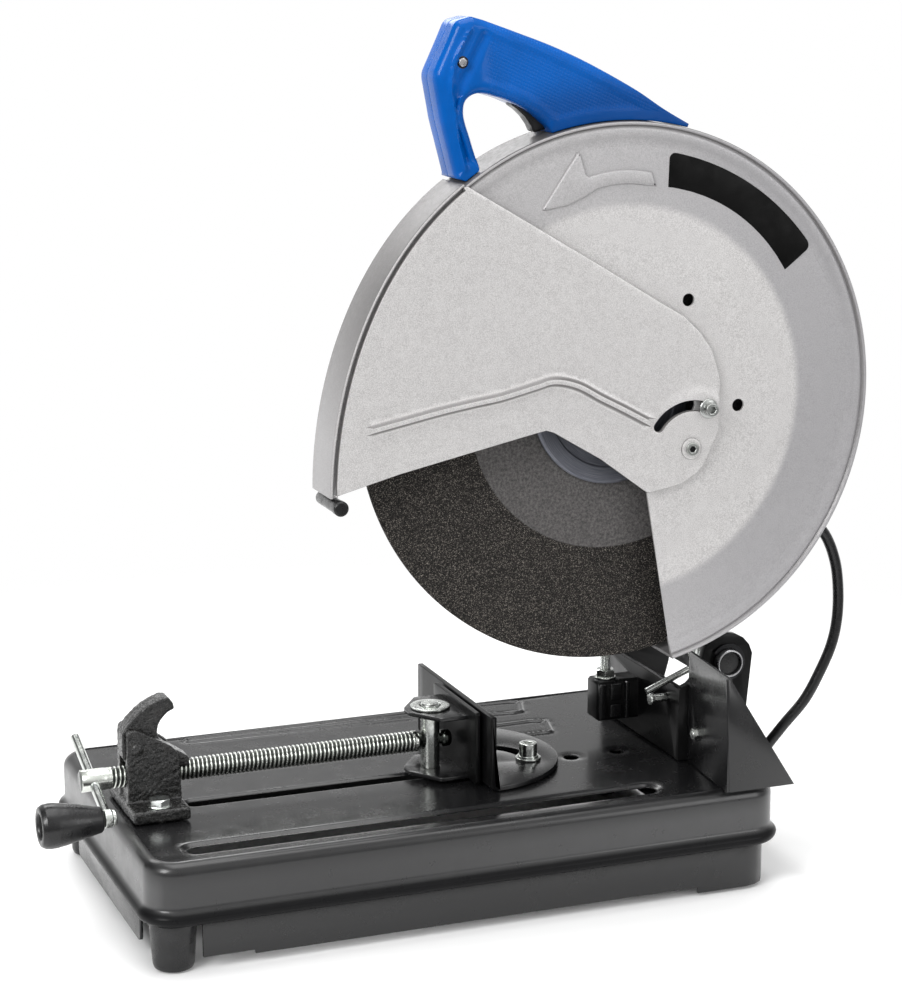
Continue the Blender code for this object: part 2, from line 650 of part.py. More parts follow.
def pivot_shaft():
    """Headed shaft with a hollowed near end, and its circlip."""
    profile = [(0, 77.5), (12.6, 77.5), (13.5, 76.5), (13.5, 73.5), (SHAFT_R, 73.5),
               (SHAFT_R, -64.9), (9.4, -65.5), (8.6, -65.5), (8.2, -62.5), (0, -62.5)]
    turned("pivot_shaft", "steel", profile, (PIVOT_X, 0, PIVOT_Z))
    clip = arc(*PIVOT, 13.5, 215, 505, 20) + arc(*PIVOT, SHAFT_R + GAP, 505, 215, 20)
    flat("circlip", "steel", [clip], EAR_NEAR_Y - 2.2, EAR_NEAR_Y - 0.7)


def torsion_spring():
    """Coil round the shaft; its leg rests on the web."""
    coil_r, wire_r, pitch = 13.6, 2.5, 5.6
    start_y, start_deg, end_deg = -28.0, 60, 1250
    turns = (end_deg - start_deg) / 360
    steps = int(turns * 14)
    path = []
    for k in range(steps + 1):
        a = math.radians(start_deg) + 2 * math.pi * turns * k / steps
        path.append((PIVOT_X + coil_r * math.cos(a), start_y - turns * pitch * k / steps,
                     PIVOT_Z + coil_r * math.sin(a)))
    path += [(PIVOT_X - 14.6, -46.7, PIVOT_Z - 1.0), (PIVOT_X - 18.5, -46.9, PIVOT_Z - 4.6),
             (WEB_X + 12, -46.9, 138.4), (162.5, -46.9, 125.6)]
    tube("torsion_spring", "zinc", path, wire_r)


def depth_stop():
    rod("depth_stop_bolt", "zinc", 4.0, 86, 150.0, STOP_BOLT, "Z", 16, bevel=0.6)
    nut = rod("depth_stop_nut", "zinc", 7.4, 118.9, 125.4, STOP_BOLT, "Z", 6, bevel=0.8)
    cut(nut, rod("stop_nut_bore", HELPER, 4.3, 110, 130, STOP_BOLT, "Z", 12))


def lock_pin():
    pin = rod("lock_pin", "zinc", 3.0, 170.5, 197.0, LOCK_PIN, "X", 16, bevel=0.6)
    join(pin, rod("lock_pin_head", HELPER, 4.6, 169.0, 172.0, LOCK_PIN, "X", 16))


def spark_deflector():
    """Behind the wheel slot: a triangular wing on the near side and a cross panel."""
    low, top = BED_Z + 0.4, 156.5
    wing = [(185.0, low), (235.5, low), (184.0, top), (180.9, top), (183.0, 120)]
    panel = [(183.2, -133.4), (185.4, -133.4), (191.6, -59.6), (189.4, -59.6)]
    deflector = flat("spark_deflector", "black_enamel", [wing], -134.0, -132.0)
    join(deflector, flat("deflector_panel", HELPER, [panel], low, top, "XY"))
    cut(deflector, rod("deflector_hole", HELPER, 3.4, 170, 200, DEFLECTOR_BOLT, "X", 12))
    rod("deflector_bolt", "zinc", 3.0, 178.0, 196.0, DEFLECTOR_BOLT, "X", 12)


# ================================================================ guard
# Front edge of the guard from top to bottom: x, z
FRONT_LINE = [
    (-7.8, 498.7), (-24.1, 487.6), (-37.5, 473.7), (-51.0, 453.6), (-64.4, 433.5),
    (-75.5, 410.5), (-84.7, 387.0), (-91.0, 366.7), (-95.0, 345.0), (-97.6, 322.0),
    (-98.1, 303.0)]
# Lower edge of the guard's near side, from the front to the rear: x, z
NEAR_LINE = [
    (-6.5, 492), (2, 482), (84, 433), (124, 409), (137, 396), (141.5, 378),
    (142.0, 352), (137.5, 320), (127.5, 300), (124.0, 289.5)]
# Edge of the cover, from the top of the front line round to its foot: x, z
COVER_LINE = [
    (-7.8, 498.7), (86.6, 443.3), (130.1, 417.0), (147.8, 406.8), (159.8, 395.4),
    (169.0, 382.9), (175.4, 362.3), (174.8, 328.5), (162.0, 302.1), (147.3, 293.7),
    (123.1, 289.5), (104.6, 303.2), (88.4, 315.2), (54.5, 335.4), (49.6, 337.0),
    (43.2, 335.9), (17.3, 330.5), (-51.6, 316.0), (-98.1, 304.0)]


def upper_guard():
    """Near plate, rim and far plate round the wheel."""
    edge = arc(*WHEEL_XZ, GUARD_R, -77.3, 127.5, 46)
    rim = (arc(*WHEEL_XZ, GUARD_R - 0.25, -77.0, 126.8, 46)
           + arc(*WHEEL_XZ, GUARD_R - GUARD_T, 126.8, -77.0, 46))
    far = (edge + offset(FRONT_LINE, 2.6)[1:]
           + [(-60, 309), (30, 318), (62, 300), (94, 284), (124, 286)])
    holes = [circle(151.9, 416.9, 4.0, 12), circle(190.4, 344.0, 4.0, 12),
             circle(*COVER_PIVOT, 3.4, 12), circle(*COVER_BOLT, 2.8, 12)]
    guard = flat("upper_guard", "silver_paint", [edge + NEAR_LINE, *holes],
                 GUARD_NEAR_Y, GUARD_NEAR_Y + GUARD_T, parent="chop")
    join(guard,
         flat("guard_rim", HELPER, [rim], GUARD_NEAR_Y + 0.4, GUARD_FAR_Y - 0.4),
         flat("guard_back", HELPER, [far, circle(*WHEEL_XZ, 20.0, 20)],
              GUARD_FAR_Y - GUARD_T, GUARD_FAR_Y))


def front_guard():
    """Band along the front line, with a flange on its near edge."""
    band = flat("front_guard", "silver_paint", [FRONT_LINE + offset(FRONT_LINE, 2.0)[::-1]],
                GUARD_NEAR_Y - 0.6, GUARD_FAR_Y, parent="chop")
    line = FRONT_LINE[1:]
    join(band, flat("front_flange", HELPER, [offset(line, 0.4) + offset(line, 13.0)[::-1]],
                    GUARD_NEAR_Y - 0.5, GUARD_NEAR_Y + 1.2))


def guard_cover():
    """Swinging cover with an arc slot round its pivot, and its two bolts."""
    x, z = COVER_BOLT[0] - COVER_PIVOT[0], COVER_BOLT[1] - COVER_PIVOT[1]
    angle = math.degrees(math.atan2(z, x))
    slot = arc_slot(*COVER_PIVOT, math.hypot(x, z), 6.4, angle, angle + 81, 9)
    flat("guard_cover", "silver_paint",
         [COVER_LINE + FRONT_LINE[::-1][1:-1], circle(*COVER_PIVOT, 3.6, 16), slot],
         COVER_NEAR_Y, COVER_FAR_Y, parent="cover")

    inner = GUARD_NEAR_Y + 6        # far end of the shanks
    # radius, y from the cover's near face
    pivot_head = [(3.0, -0.5), (6.2, -0.5), (6.2, -3.0), (4.4, -3.6), (0, -3.6)]
    lock_head = [(2.5, -0.5), (6.0, -0.5), (6.0, -2.0), (4.5, -2.0), (4.5, -7.5),
                 (2.2, -7.5), (2.2, -5.0), (0, -5.0)]
    for name, shank_r, head, (x, z) in (("cover_pivot_bolt", 3.0, pivot_head, COVER_PIVOT),
                                        ("cover_lock_bolt", 2.5, lock_head, COVER_BOLT)):
        turned(name, "zinc", [(0, inner), (shank_r, inner)] + raised(head, COVER_NEAR_Y),
               (x, 0, z), "Y", 16, parent="chop")


def bumper():
    rod("bumper", "black_rubber", 5.0, -127.0, -88.0, (-92.0, 296.8), "Y", 20,
        bevel=1.2, parent="chop")


# ================================================================ wheel and spindle
def wheel():
    turned("abrasive_wheel", "abrasive",
           ring_profile(BORE_R, WHEEL_R, -WHEEL_T / 2, WHEEL_T / 2),
           WHEEL_C, "Y", 72, parent="wheel")


def outer_flange():
    # radius, y from the flange face
    profile = [(8.4, 0), (FLANGE_R, 0), (FLANGE_R, -2.2), (FLANGE_R - 3, -3.4), (30, -3.4),
               (26, -6), (8.4, -6), (8.4, 0)]
    turned("outer_flange", "zinc", raised(profile, -FLANGE_FACE), WHEEL_C, "Y", 36,
           parent="wheel")


def spindle():
    """Spindle with the inner flange, and a socket for the wheel bolt."""
    near_y = -FLANGE_FACE + GAP
    flange = [(12.0, 7), (20, 6), (30, 3.4), (FLANGE_R - 3, 3.4), (FLANGE_R, 2.2),
              (FLANGE_R, 0), (12.0, 0)]
    profile = ([(0, 71.3), (7.2, 71.3), (7.5, 70.8), (7.5, 36.0), (12.0, 36.0)]
               + raised(flange, FLANGE_FACE)
               + [(12.0, near_y), (8.0, near_y), (8.0, -7.5), (4.6, -7.5), (4.6, -3.0),
                  (0, -3.0)])
    turned("spindle", "steel", profile, WHEEL_C, "Y", 36, parent="wheel")


def wheel_bolt():
    face = WHEEL_Y - FLANGE_FACE
    bolt = rod("wheel_bolt", "zinc", 8.6, face - 14.0, face - 8.0, WHEEL_XZ, "Y", 6,
               bevel=0.8, parent="wheel")
    join(bolt,
         rod("wheel_bolt_shank", HELPER, 4.2, face - 12, WHEEL_Y - 4.8, WHEEL_XZ, "Y", 12),
         rod("wheel_bolt_washer", HELPER, 13.5, face - 8.4, face - 6.4, WHEEL_XZ, "Y", 24))


def drive_gear():
    flat("drive_gear", "steel",
         [gear_outline(GEAR_TEETH, WHEEL_XZ, MOTOR_ANGLE), circle(*WHEEL_XZ, 7.8, 20)],
         GEAR_NEAR_Y, GEAR_FAR_Y, parent="wheel")


def armature():
    """Shaft with its pinion, core and commutator."""
    # half a tooth round from the gear's, so that the teeth mesh
    phase = MOTOR_ANGLE + math.pi + math.pi / PINION_TEETH
    shaft = flat("armature_shaft", "steel", [gear_outline(PINION_TEETH, MOTOR_XZ, phase)],
                 GEAR_NEAR_Y - 1, GEAR_FAR_Y + 2, parent="armature")
    shoulder = GEAR_NEAR_Y - 0.5
    profile = [(0, 118.0), (4.0, 118.0), (4.0, 103.0), (6.0, 103.0), (6.0, GEAR_FAR_Y + 1),
               (6.0, shoulder), (4.0, shoulder), (4.0, -72), (0, -72)]
    join(shaft, turned("armature_shaft_turned", HELPER, profile, MOTOR_C, "Y", 20))
    turned("armature_core", "laminations",
           [(6.3, 68), (23, 70), (25.2, 66), (25.2, 14), (23, 10), (6.3, 12), (6.3, 68)],
           MOTOR_C, "Y", 28, parent="armature")
    turned("commutator", "copper",
           [(6.3, 98), (13.5, 98), (13.5, 82), (15.5, 80), (15.5, 76), (6.3, 76), (6.3, 98)],
           MOTOR_C, "Y", 24, parent="armature")


def cooling_fan():
    fan = turned("cooling_fan", "black_plastic",
                 [(6.3, -3), (12, -3), (12, -12), (40, -14), (40, -16), (6.3, -16), (6.3, -3)],
                 MOTOR_C, "Y", 28, parent="armature")
    # a blade's corners from the motor axis, before it is turned to its place
    low, high = Vector((11, -14.8, -0.9)), Vector((39.0, -4.0, 0.9))
    blades = 8
    for k in range(blades):
        blade = box(f"fan_blade_{k}", HELPER, low, high)
        blade.matrix_world = (Matrix.Translation(point(*MOTOR_C))
                              @ Matrix.Rotation(2 * math.pi * k / blades, 4, "Y")
                              @ Matrix.Translation((low + high) / 2 * MM))
        join(fan, blade)


def bearings():
    # name, inner and outer radius, near and far face
    for tag, *sizes in (("front", 12.3, 20.5, -77.5, -66.5), ("rear", 7.8, 14.0, -39.5, -30.5)):
        turned("spindle_bearing_" + tag, "steel", ring_profile(*sizes),
               (WHEEL_X, 0, WHEEL_Z), "Y", 24, parent="chop")


# ================================================================ gear case and arm
CASE_LINE = hull_line(WHEEL_XZ, 45.0, MOTOR_XZ, 51.0)


def gear_case_cover():
    cover = flat("gear_case_cover", "cast_aluminium", [CASE_LINE], GUARD_FAR_Y + GAP, -60.0,
                 parent="chop")
    cut(cover, rod("cover_spindle_bore", HELPER, 13.5, -95, -50, WHEEL_XZ, "Y", 24),
        rod("cover_bearing_pocket", HELPER, 20.8, -77.8, -50, WHEEL_XZ, "Y", 24),
        rod("cover_armature_pocket", HELPER, 4.3, -73.0, -50, MOTOR_XZ, "Y", 20))


def gear_case():
    """Gear case in one casting with the arm down to the pivot tube."""
    # outlines: x, z, given from the pivot where around() is used
    arm = (around(PIVOT, [(-36, 26), (-50, 62)]) + [(94, 318), (140, 318), (168, 345)]
           + around(PIVOT, [(8, 60), (12, 26)]))
    neck = around(PIVOT, [(-36, 24), (-46, 66), (6, 66), (13, 24)])
    foot = around(PIVOT, [(-16, -3), (-26, 38), (-12, 52), (14, 48), (16, -3)])
    lug = around(PIVOT, [(-8.1, 12.6), (-49.9, 43.5), (-40.3, 49.7), (0.6, 24.4)])
    stop_y = STOP_BOLT[1]
    case = flat("gear_case", "cast_aluminium", [CASE_LINE], -59.7, -20.0, parent="chop")
    join(case,
         flat("head_arm", HELPER, [fillet(arm, [0, 20, 0, 0, 0, 20, 0])], -44.0, -20.0),
         flat("arm_neck", HELPER, [fillet(neck, [5, 0, 0, 5], 2)], -43.5, 40.0),
         rod("pivot_tube", HELPER, 17.0, -22.0, 64.0, PIVOT, "Y", 28),
         flat("arm_foot", HELPER, [fillet(foot, [0, 8, 8, 8, 0], 2)], -22.0, 40.0),
         flat("stop_lug", HELPER, [lug], stop_y - 9, stop_y + 9))
    button_x = LOCK_BUTTON[0]
    cut(case,
        flat("gear_cavity", HELPER, [hull_line(WHEEL_XZ, 41.5, MOTOR_XZ, 14.0)], -70, -42.0),
        rod("case_bearing_pocket", HELPER, 14.3, -50, -30.2, WHEEL_XZ, "Y", 24),
        rod("case_armature_bore", HELPER, 8.5, -50, -10, MOTOR_XZ, "Y", 20),
        rod("case_pivot_bore", HELPER, SHAFT_R + GAP, -60, 90, PIVOT),
        rod("lock_button_bore", HELPER, 4.4, 389, 425, LOCK_BUTTON, "Z", 12),
        box("lock_button_flat", HELPER, (button_x - 10, -62, 408), (button_x + 10, -43, 435)))


def lock_button():
    button = rod("spindle_lock_button", "black_plastic", 4.0, 394.0, 414.0, LOCK_BUTTON, "Z", 12,
                 parent="lock_button")
    join(button, rod("lock_button_head", HELPER, 6.2, 411.6, 417.0, LOCK_BUTTON, "Z", 16))


# ================================================================ motor
BRUSHES = {"top": 50, "bottom": 230}    # angle in XZ, degrees


def brush_rod(name, finish, radius, inner, outer, angle, segments=16, **options):
    """A rod along a radius of the motor, at the brushes."""
    obj = rod(name, finish, radius, inner, outer, (0, 0), "Z", segments, **options)
    obj.matrix_world = (Matrix.Translation(point(MOTOR_X, 90.0, MOTOR_Z))
                        @ Matrix.Rotation(math.radians(90 - angle), 4, "Y")
                        @ Matrix.Translation(Vector((0, 0, (inner + outer) / 2)) * MM))
    return obj


def motor_housing():
    bore, lip = MOTOR_R - 3.2, MOTOR_R + 2.0
    housing = turned("motor_housing", "black_plastic",
                     [(bore, 102), (MOTOR_R, 102), (MOTOR_R, -10), (lip, -14),
                      (lip, -19.7), (bore, -19.7), (bore, 102)],
                     MOTOR_C, "Y", 40, parent="chop")
    slots = 6
    for k in range(slots):
        a = 2 * math.pi * (k + 0.5) / slots
        x = MOTOR_X + (MOTOR_R - 1) * math.cos(a)
        z = MOTOR_Z + (MOTOR_R - 1) * math.sin(a)
        cut(housing, box(f"air_slot_{k}", HELPER, (x - 4, -12.0, z - 4), (x + 4, -4.0, z + 4)))
    for tag, angle in BRUSHES.items():
        cut(housing, brush_rod(f"brush_bore_{tag}", HELPER, 6.3, 40, 60, angle))


def carbon_brushes():
    for tag, angle in BRUSHES.items():
        brush = brush_rod(f"carbon_brush_{tag}", "carbon", 3.6, 13.9, 48.0, angle, 8,
                          parent="chop")
        join(brush, brush_rod(f"brush_cap_{tag}", HELPER, 6.0, 44.0, 50.0, angle),
             brush_rod(f"brush_cap_head_{tag}", HELPER, 7.6, 49.4, 51.2, angle))


def stator():
    turned("stator", "laminations", ring_profile(26.0, 45.4, 8, 72), MOTOR_C, parent="chop")


def motor_end_cap():
    """Domed cap with a pocket for the shaft end and five rows of vents."""
    rim, spigot = MOTOR_R - 0.4, MOTOR_R - 5
    cap = turned("motor_end_cap", "black_plastic",
                 [(0, 132.0), (30, 132.0), (44, 127.5), (rim, 118), (rim, 102.3),
                  (spigot, 102.3), (spigot, 114), (38, 120), (14.5, 120), (14.5, 108.0),
                  (4.3, 108.0), (4.3, 121.0), (0, 121.0)], MOTOR_C, parent="chop")
    for k in range(5):
        rise = (k - 2) * 9.0
        z = MOTOR_Z + rise
        reach = math.sqrt(36 ** 2 - rise ** 2) * 0.9 + 1
        for hand, side in (("l", -1), ("r", 1)):
            low, high = sorted((MOTOR_X + side * 16, MOTOR_X + side * reach))
            cut(cap, box(f"end_vent_{k}_{hand}", HELPER, (low, 116, z - 2), (high, 140, z + 2)))


# ================================================================ handle
# Outside of the handle from the guard at the front, over the top: x, z
HANDLE_TOP = [
    (-9.7, 501.1), (-19.2, 537.6), (-24.5, 566.0), (-15.8, 583.4), (-8.3, 598.9),
    (2.0, 602.0), (31.6, 592.0), (59.0, 582.0), (86.8, 569.5), (115.0, 554.0),
    (134.0, 541.5), (158.0, 528.9)]
# Inside of the grip opening, from front to rear: x, z
HANDLE_OPENING = [
    (5.6, 511.1), (0.8, 525.7), (-4.0, 543.0), (-2.0, 550.7), (6.8, 554.2),
    (18.3, 551.4), (30.0, 547.4), (42.0, 541.5), (54.2, 531.0)]
TRIGGER_POCKET = [(26, 540), (60, 524), (66, 530), (108, 542), (108, 556), (60, 568), (30, 566)]


def handle():
    """Two halves that meet in the plane of the wheel, and their screw."""
    seat_r = GUARD_R + 0.5
    line = (HANDLE_TOP[::-1] + arc(*WHEEL_XZ, seat_r, 126.3, 122.6, 4)
            + HANDLE_OPENING + arc(*WHEEL_XZ, seat_r, 105.6, 73.4, 10))
    pocket = flat("trigger_pocket", HELPER, [TRIGGER_POCKET], WHEEL_Y - 7.5, WHEEL_Y + 7.5)
    # helper cylinder just outside the guard rim; no piece is cut with it
    rod("rim_clearance", HELPER, GUARD_R + 0.4, -130, -80, WHEEL_XZ, "Y", 96)
    halves = {}
    for name, low, high in (("handle_near", HANDLE_NEAR_Y, WHEEL_Y - 0.15),
                            ("handle_far", WHEEL_Y + 0.15, HANDLE_FAR_Y)):
        halves[name] = flat(name, "blue_plastic", [line], low, high, parent="chop")
        cut(halves[name], pocket,
            rod(f"{name}_bore", HELPER, 2.3, -130, -80, HANDLE_SCREW, "Y", 12))
    join(halves["handle_far"], rod("trigger_boss", HELPER, 1.9, WHEEL_Y - 7.0, WHEEL_Y + 9.0,
                                   TRIGGER_POCKET_PIN, "Y", 12))
    # radius, y from the handle's near face
    head = [(2.0, -0.3), (3.8, -0.3), (3.8, -1.4), (2.6, -2.2), (0, -2.2)]
    turned("handle_screw", "zinc", [(0, -90), (2.0, -90)] + raised(head, HANDLE_NEAR_Y),
           (HANDLE_SCREW[0], 0, HANDLE_SCREW[1]), "Y", 12, parent="chop")


TRIGGER_POCKET_PIN = TRIGGER_PIVOT      # the boss stands on the trigger's pivot


def trigger():
    line = [(60, 559), (70, 559), (71, 548), (61.0, 536.0), (54.5, 533.2), (48.5, 534.5),
            (44.0, 540.0), (33.0, 546.2), (33.0, 550.5), (50, 553)]
    lever = flat("trigger", "grey_plastic", [fillet(line, [3, 3, 2, 2, 2, 2, 4, 1, 1, 2], 2)],
                 WHEEL_Y - 6.0, WHEEL_Y + 6.0, parent="trigger")
    cut(lever, rod("trigger_bore", HELPER, 2.2, -130, -80, TRIGGER_PIVOT, "Y", 12))


def switch():
    box("switch", "grey_plastic", (76, WHEEL_Y - 6.5, 543.5), (104, WHEEL_Y + 6.5, 554.5),
        0.8, parent="chop")


# ================================================================ cord
CORD_X, CORD_Y = MOTOR_X + 22, 20.0     # where the cord leaves the motor
# The cord from below the motor, down behind the base to the plug: x, y, z
CORD_PATH = [
    (CORD_X, CORD_Y, 303.5), (CORD_X, CORD_Y, 298), (MOTOR_X + 25, 16, 291),
    (MOTOR_X + 34, 8, 284), (205, -8, 274), (235, -24, 266), (268, -38, 255),
    (290, -42, 242), (305.2, -42, 228.4), (315.0, -42, 207.1), (318.6, -42, 184.3),
    (318.3, -42, 161.6), (314.3, -42, 143.1), (304.2, -42, 121.3), (294.0, -41, 103.3),
    (278.0, -38, 84.0), (264.0, -32, 62.0), (256.0, -22, 34.0), (252.0, -8, 12.0),
    (250.0, 8, 4.6), (248.0, 30, 4.3), (247.0, 60, 4.3), (246.0, 74, 5.0),
    (245.5, 79.7, 6.5)]


def strain_relief():
    """Tapered sleeve, its top hollowed to sit against the round of the motor housing."""
    relief = rod("strain_relief", "black_rubber", 7.0, 305, 345, (CORD_X, CORD_Y), "Z", 16,
                 top_radius=8.0, parent="chop")
    cut(relief, rod("relief_seat", HELPER, MOTOR_R + 0.25, 0, 40, MOTOR_XZ, "Y", 40))


def power_cord():
    """Cord with the plug's body and two blades."""
    cord = tube("power_cord", "black_rubber", CORD_PATH, 4.0)
    join(cord, box("plug_body", HELPER, (232.5, 77.0, 0.3), (258.5, 109.0, 20.0), 4.0, 2))
    for tag, x in (("a", 239.2), ("b", 251.8)):
        join(cord, box(f"plug_blade_{tag}", HELPER, (x - 0.8, 105, 8.8), (x + 0.8, 125.0, 15.2)))


# ================================================================ assembly
for build in (
        base_pan, front_skirt, rear_skirt, feet, fence, fence_bolts,
        vise_bracket, half_nut_lever, vise_screw, crank, vise_jaw, jaw_pin,
        pivot_bracket, pivot_shaft, torsion_spring, depth_stop, lock_pin, spark_deflector,
        upper_guard, front_guard, guard_cover, bumper,
        wheel, outer_flange, spindle, wheel_bolt, drive_gear, armature, cooling_fan, bearings,
        gear_case_cover, gear_case, lock_button,
        motor_housing, carbon_brushes, stator, motor_end_cap,
        handle, trigger, switch, strain_relief, power_cord):
    build()
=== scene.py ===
# An abrasive cut-off saw: a wheel under a guard on a sprung head, over a pressed base with
# a fence and a screw vise. Lengths are millimetres: x along the base from its middle, with
# the vise screw's knob at -x and the head's pivot at +x; the wheel's near side faces -y, z up.
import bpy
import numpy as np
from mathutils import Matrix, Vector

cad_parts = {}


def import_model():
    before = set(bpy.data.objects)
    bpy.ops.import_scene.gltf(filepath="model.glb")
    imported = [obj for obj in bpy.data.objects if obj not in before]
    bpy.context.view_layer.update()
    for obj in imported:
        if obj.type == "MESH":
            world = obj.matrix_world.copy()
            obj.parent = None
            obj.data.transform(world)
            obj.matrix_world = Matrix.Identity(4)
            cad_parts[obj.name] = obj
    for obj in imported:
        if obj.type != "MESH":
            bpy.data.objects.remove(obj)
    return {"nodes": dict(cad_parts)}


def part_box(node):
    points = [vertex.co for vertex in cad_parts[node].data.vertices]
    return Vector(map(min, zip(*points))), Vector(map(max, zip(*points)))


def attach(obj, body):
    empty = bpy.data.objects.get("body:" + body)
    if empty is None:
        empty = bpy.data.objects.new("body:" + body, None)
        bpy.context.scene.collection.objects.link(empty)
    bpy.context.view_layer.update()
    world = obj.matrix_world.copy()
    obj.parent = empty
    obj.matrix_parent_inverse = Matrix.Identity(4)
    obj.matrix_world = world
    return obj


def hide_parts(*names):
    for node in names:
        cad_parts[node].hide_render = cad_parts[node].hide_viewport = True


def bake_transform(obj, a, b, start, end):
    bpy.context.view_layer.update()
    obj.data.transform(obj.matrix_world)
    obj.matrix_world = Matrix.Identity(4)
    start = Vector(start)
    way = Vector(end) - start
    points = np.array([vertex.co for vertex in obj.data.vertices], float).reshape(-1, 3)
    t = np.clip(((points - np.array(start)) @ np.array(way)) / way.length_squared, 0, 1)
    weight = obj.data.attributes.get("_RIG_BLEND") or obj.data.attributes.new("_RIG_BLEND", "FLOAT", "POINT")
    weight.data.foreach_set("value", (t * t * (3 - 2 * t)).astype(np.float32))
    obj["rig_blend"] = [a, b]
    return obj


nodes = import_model()["nodes"]

import math

import bmesh
import bpy
import numpy as np
from mathutils import Matrix, Vector, noise
from mathutils.geometry import delaunay_2d_cdt

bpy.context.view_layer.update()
root = bpy.context.scene.collection

MM = 0.001
WHEEL_X, WHEEL_Y, WHEEL_Z = 105.0, -102.0, 351.0
WHEEL = (WHEEL_X, WHEEL_Z)            # spindle axis, along y
low_corner, high_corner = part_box("abrasive_wheel")
BASE_X = (low_corner.x + high_corner.x) / 2 / MM - WHEEL_X      # base's middle, in the object's frame
SHAFT = (219.7, 145.2)                # pivot shaft's axis, x and z
BED = 75.0                            # top of the base
SCREW_Y, SCREW_Z = -16.0, 99.0        # lead screw's axis
SCREW = (SCREW_Y, SCREW_Z)
FENCE_PIVOT = (48.5, -18.0)           # x and y of bolts through the bed
FENCE_LOCK = (81.5, -23.5)
VISE_BOLT_X = -193.0
VISE_BOLT_Y = (SCREW_Y - 25, SCREW_Y + 25)
MOTOR_X = WHEEL_X + 48 * math.cos(math.radians(38.2))


# ------------------------------------------------------------------ shader nodes
class Nodes:
    """A node tree with shorthands for what it is built from."""

    def __init__(self, tree):
        self.tree = tree

    def put(self, socket, value):
        if isinstance(value, bpy.types.NodeSocket):
            self.tree.links.new(value, socket)
        else:
            if socket.type == "RGBA" and len(value) == 3:
                value = (*value, 1.0)
            socket.default_value = value

    def new(self, kind, *inputs, **props):
        """A node with its first inputs filled in order."""
        node = self.tree.nodes.new("ShaderNode" + kind)
        for key, value in props.items():
            setattr(node, key, value)
        for socket, value in zip(node.inputs, inputs):
            self.put(socket, value)
        return node

    def math(self, operation, *values):
        return self.new("Math", *values, operation=operation).outputs[0]

    def add(self, a, b):
        return self.math("ADD", a, b)

    def sub(self, a, b):
        return self.math("SUBTRACT", a, b)

    def mul(self, a, b):
        return self.math("MULTIPLY", a, b)

    def most(self, a, b):
        return self.math("MAXIMUM", a, b)

    def length(self, a, b):
        return self.math("SQRT", self.add(self.mul(a, a), self.mul(b, b)))

    def step(self, value, over=(0.3, 0.7), to=(0.0, 1.0)):
        """Smooth change of a value from one range to another; by default a noise's useful middle."""
        return self.new("MapRange", value, *over, *to, interpolation_type="SMOOTHSTEP").outputs[0]


class Mat(Nodes):
    """A Principled material. Its coordinates are the object's own, in metres."""

    def __init__(self, name, colour=(0.5, 0.5, 0.5), rough=0.5, metal=0.0, coat=0.0,
                 coat_rough=0.08, spec=0.5):
        self.mat = bpy.data.materials.new(name)
        self.mat.use_nodes = True
        super().__init__(self.mat.node_tree)
        self.shader = self.tree.nodes["Principled BSDF"]
        self.set("Base Color", colour)
        self.set("Roughness", rough)
        self.set("Metallic", metal)
        self.set("Coat Weight", coat)
        self.set("Coat Roughness", coat_rough)
        self.set("Specular IOR Level", spec)
        self.mat.diffuse_color = (*colour, 1.0)
        self.obj = self.new("TexCoord").outputs["Object"]

    def set(self, name, value):
        self.put(self.shader.inputs[name], value)

    def noise(self, scale, detail=3.0, rough=0.55, vec=None, distortion=0.0):
        node = self.new("TexNoise", vec or self.obj)
        node.inputs["Scale"].default_value = scale
        node.inputs["Detail"].default_value = detail
        node.inputs["Roughness"].default_value = rough
        node.inputs["Distortion"].default_value = distortion
        return node.outputs["Fac"]

    def voronoi(self, scale, out, vec=None, randomness=1.0):
        node = self.new("TexVoronoi", vec or self.obj, feature="F1")
        node.inputs["Scale"].default_value = scale
        node.inputs["Randomness"].default_value = randomness
        return node.outputs[out]

    def stretch(self, scale, vec=None):
        node = self.new("Mapping", vec or self.obj)
        node.inputs["Scale"].default_value = scale
        return node.outputs["Vector"]

    def ramp(self, fac, stops):
        node = self.new("ValToRGB", fac)
        elements = node.color_ramp.elements
        while len(elements) < len(stops):
            elements.new(0.5)
        for element, (position, colour) in zip(elements, stops):
            element.position = position
            element.color = (*colour, 1)
        return node.outputs["Color"]

    def mix(self, fac, a, b):
        node = self.new("Mix", fac, data_type="RGBA", blend_type="MIX")
        self.put(node.inputs[6], a)
        self.put(node.inputs[7], b)
        return node.outputs[2]

    def xyz(self, vec=None):
        return self.new("SeparateXYZ", vec or self.obj).outputs

    def normal(self):
        return self.new("NewGeometry").outputs["Normal"]

    def from_spindle(self):
        """Coordinates measured from the wheel's axis."""
        shift = (-(WHEEL_X + BASE_X) * MM, 0, -WHEEL_Z * MM)
        return self.xyz(self.new("Mapping", self.obj, shift).outputs["Vector"])

    def radius(self):
        """Distance from the wheel's axis."""
        off = self.from_spindle()
        return self.length(off[0], off[2])

    def polar(self):
        """(angle, y, radius) about the wheel's axis, for marks that run round it."""
        off = self.from_spindle()
        angle = self.math("ARCTAN2", off[2], off[0])
        return self.new("CombineXYZ", angle, off[1], self.length(off[0], off[2])).outputs[0]

    def bevel(self, radius):
        return self.new("Bevel", radius, samples=4).outputs["Normal"]

    def edge(self, radius, over):
        """1 on edges, 0 on flats."""
        dot = self.new("VectorMath", self.normal(), self.bevel(radius), operation="DOT_PRODUCT")
        return self.step(dot.outputs["Value"], over)

    def bump(self, height, strength, distance, normal=None):
        node = self.new("Bump")
        node.inputs["Strength"].default_value = strength
        node.inputs["Distance"].default_value = distance
        self.put(node.inputs["Height"], height)
        if normal is not None:
            self.put(node.inputs["Normal"], normal)
        self.set("Normal", node.outputs["Normal"])


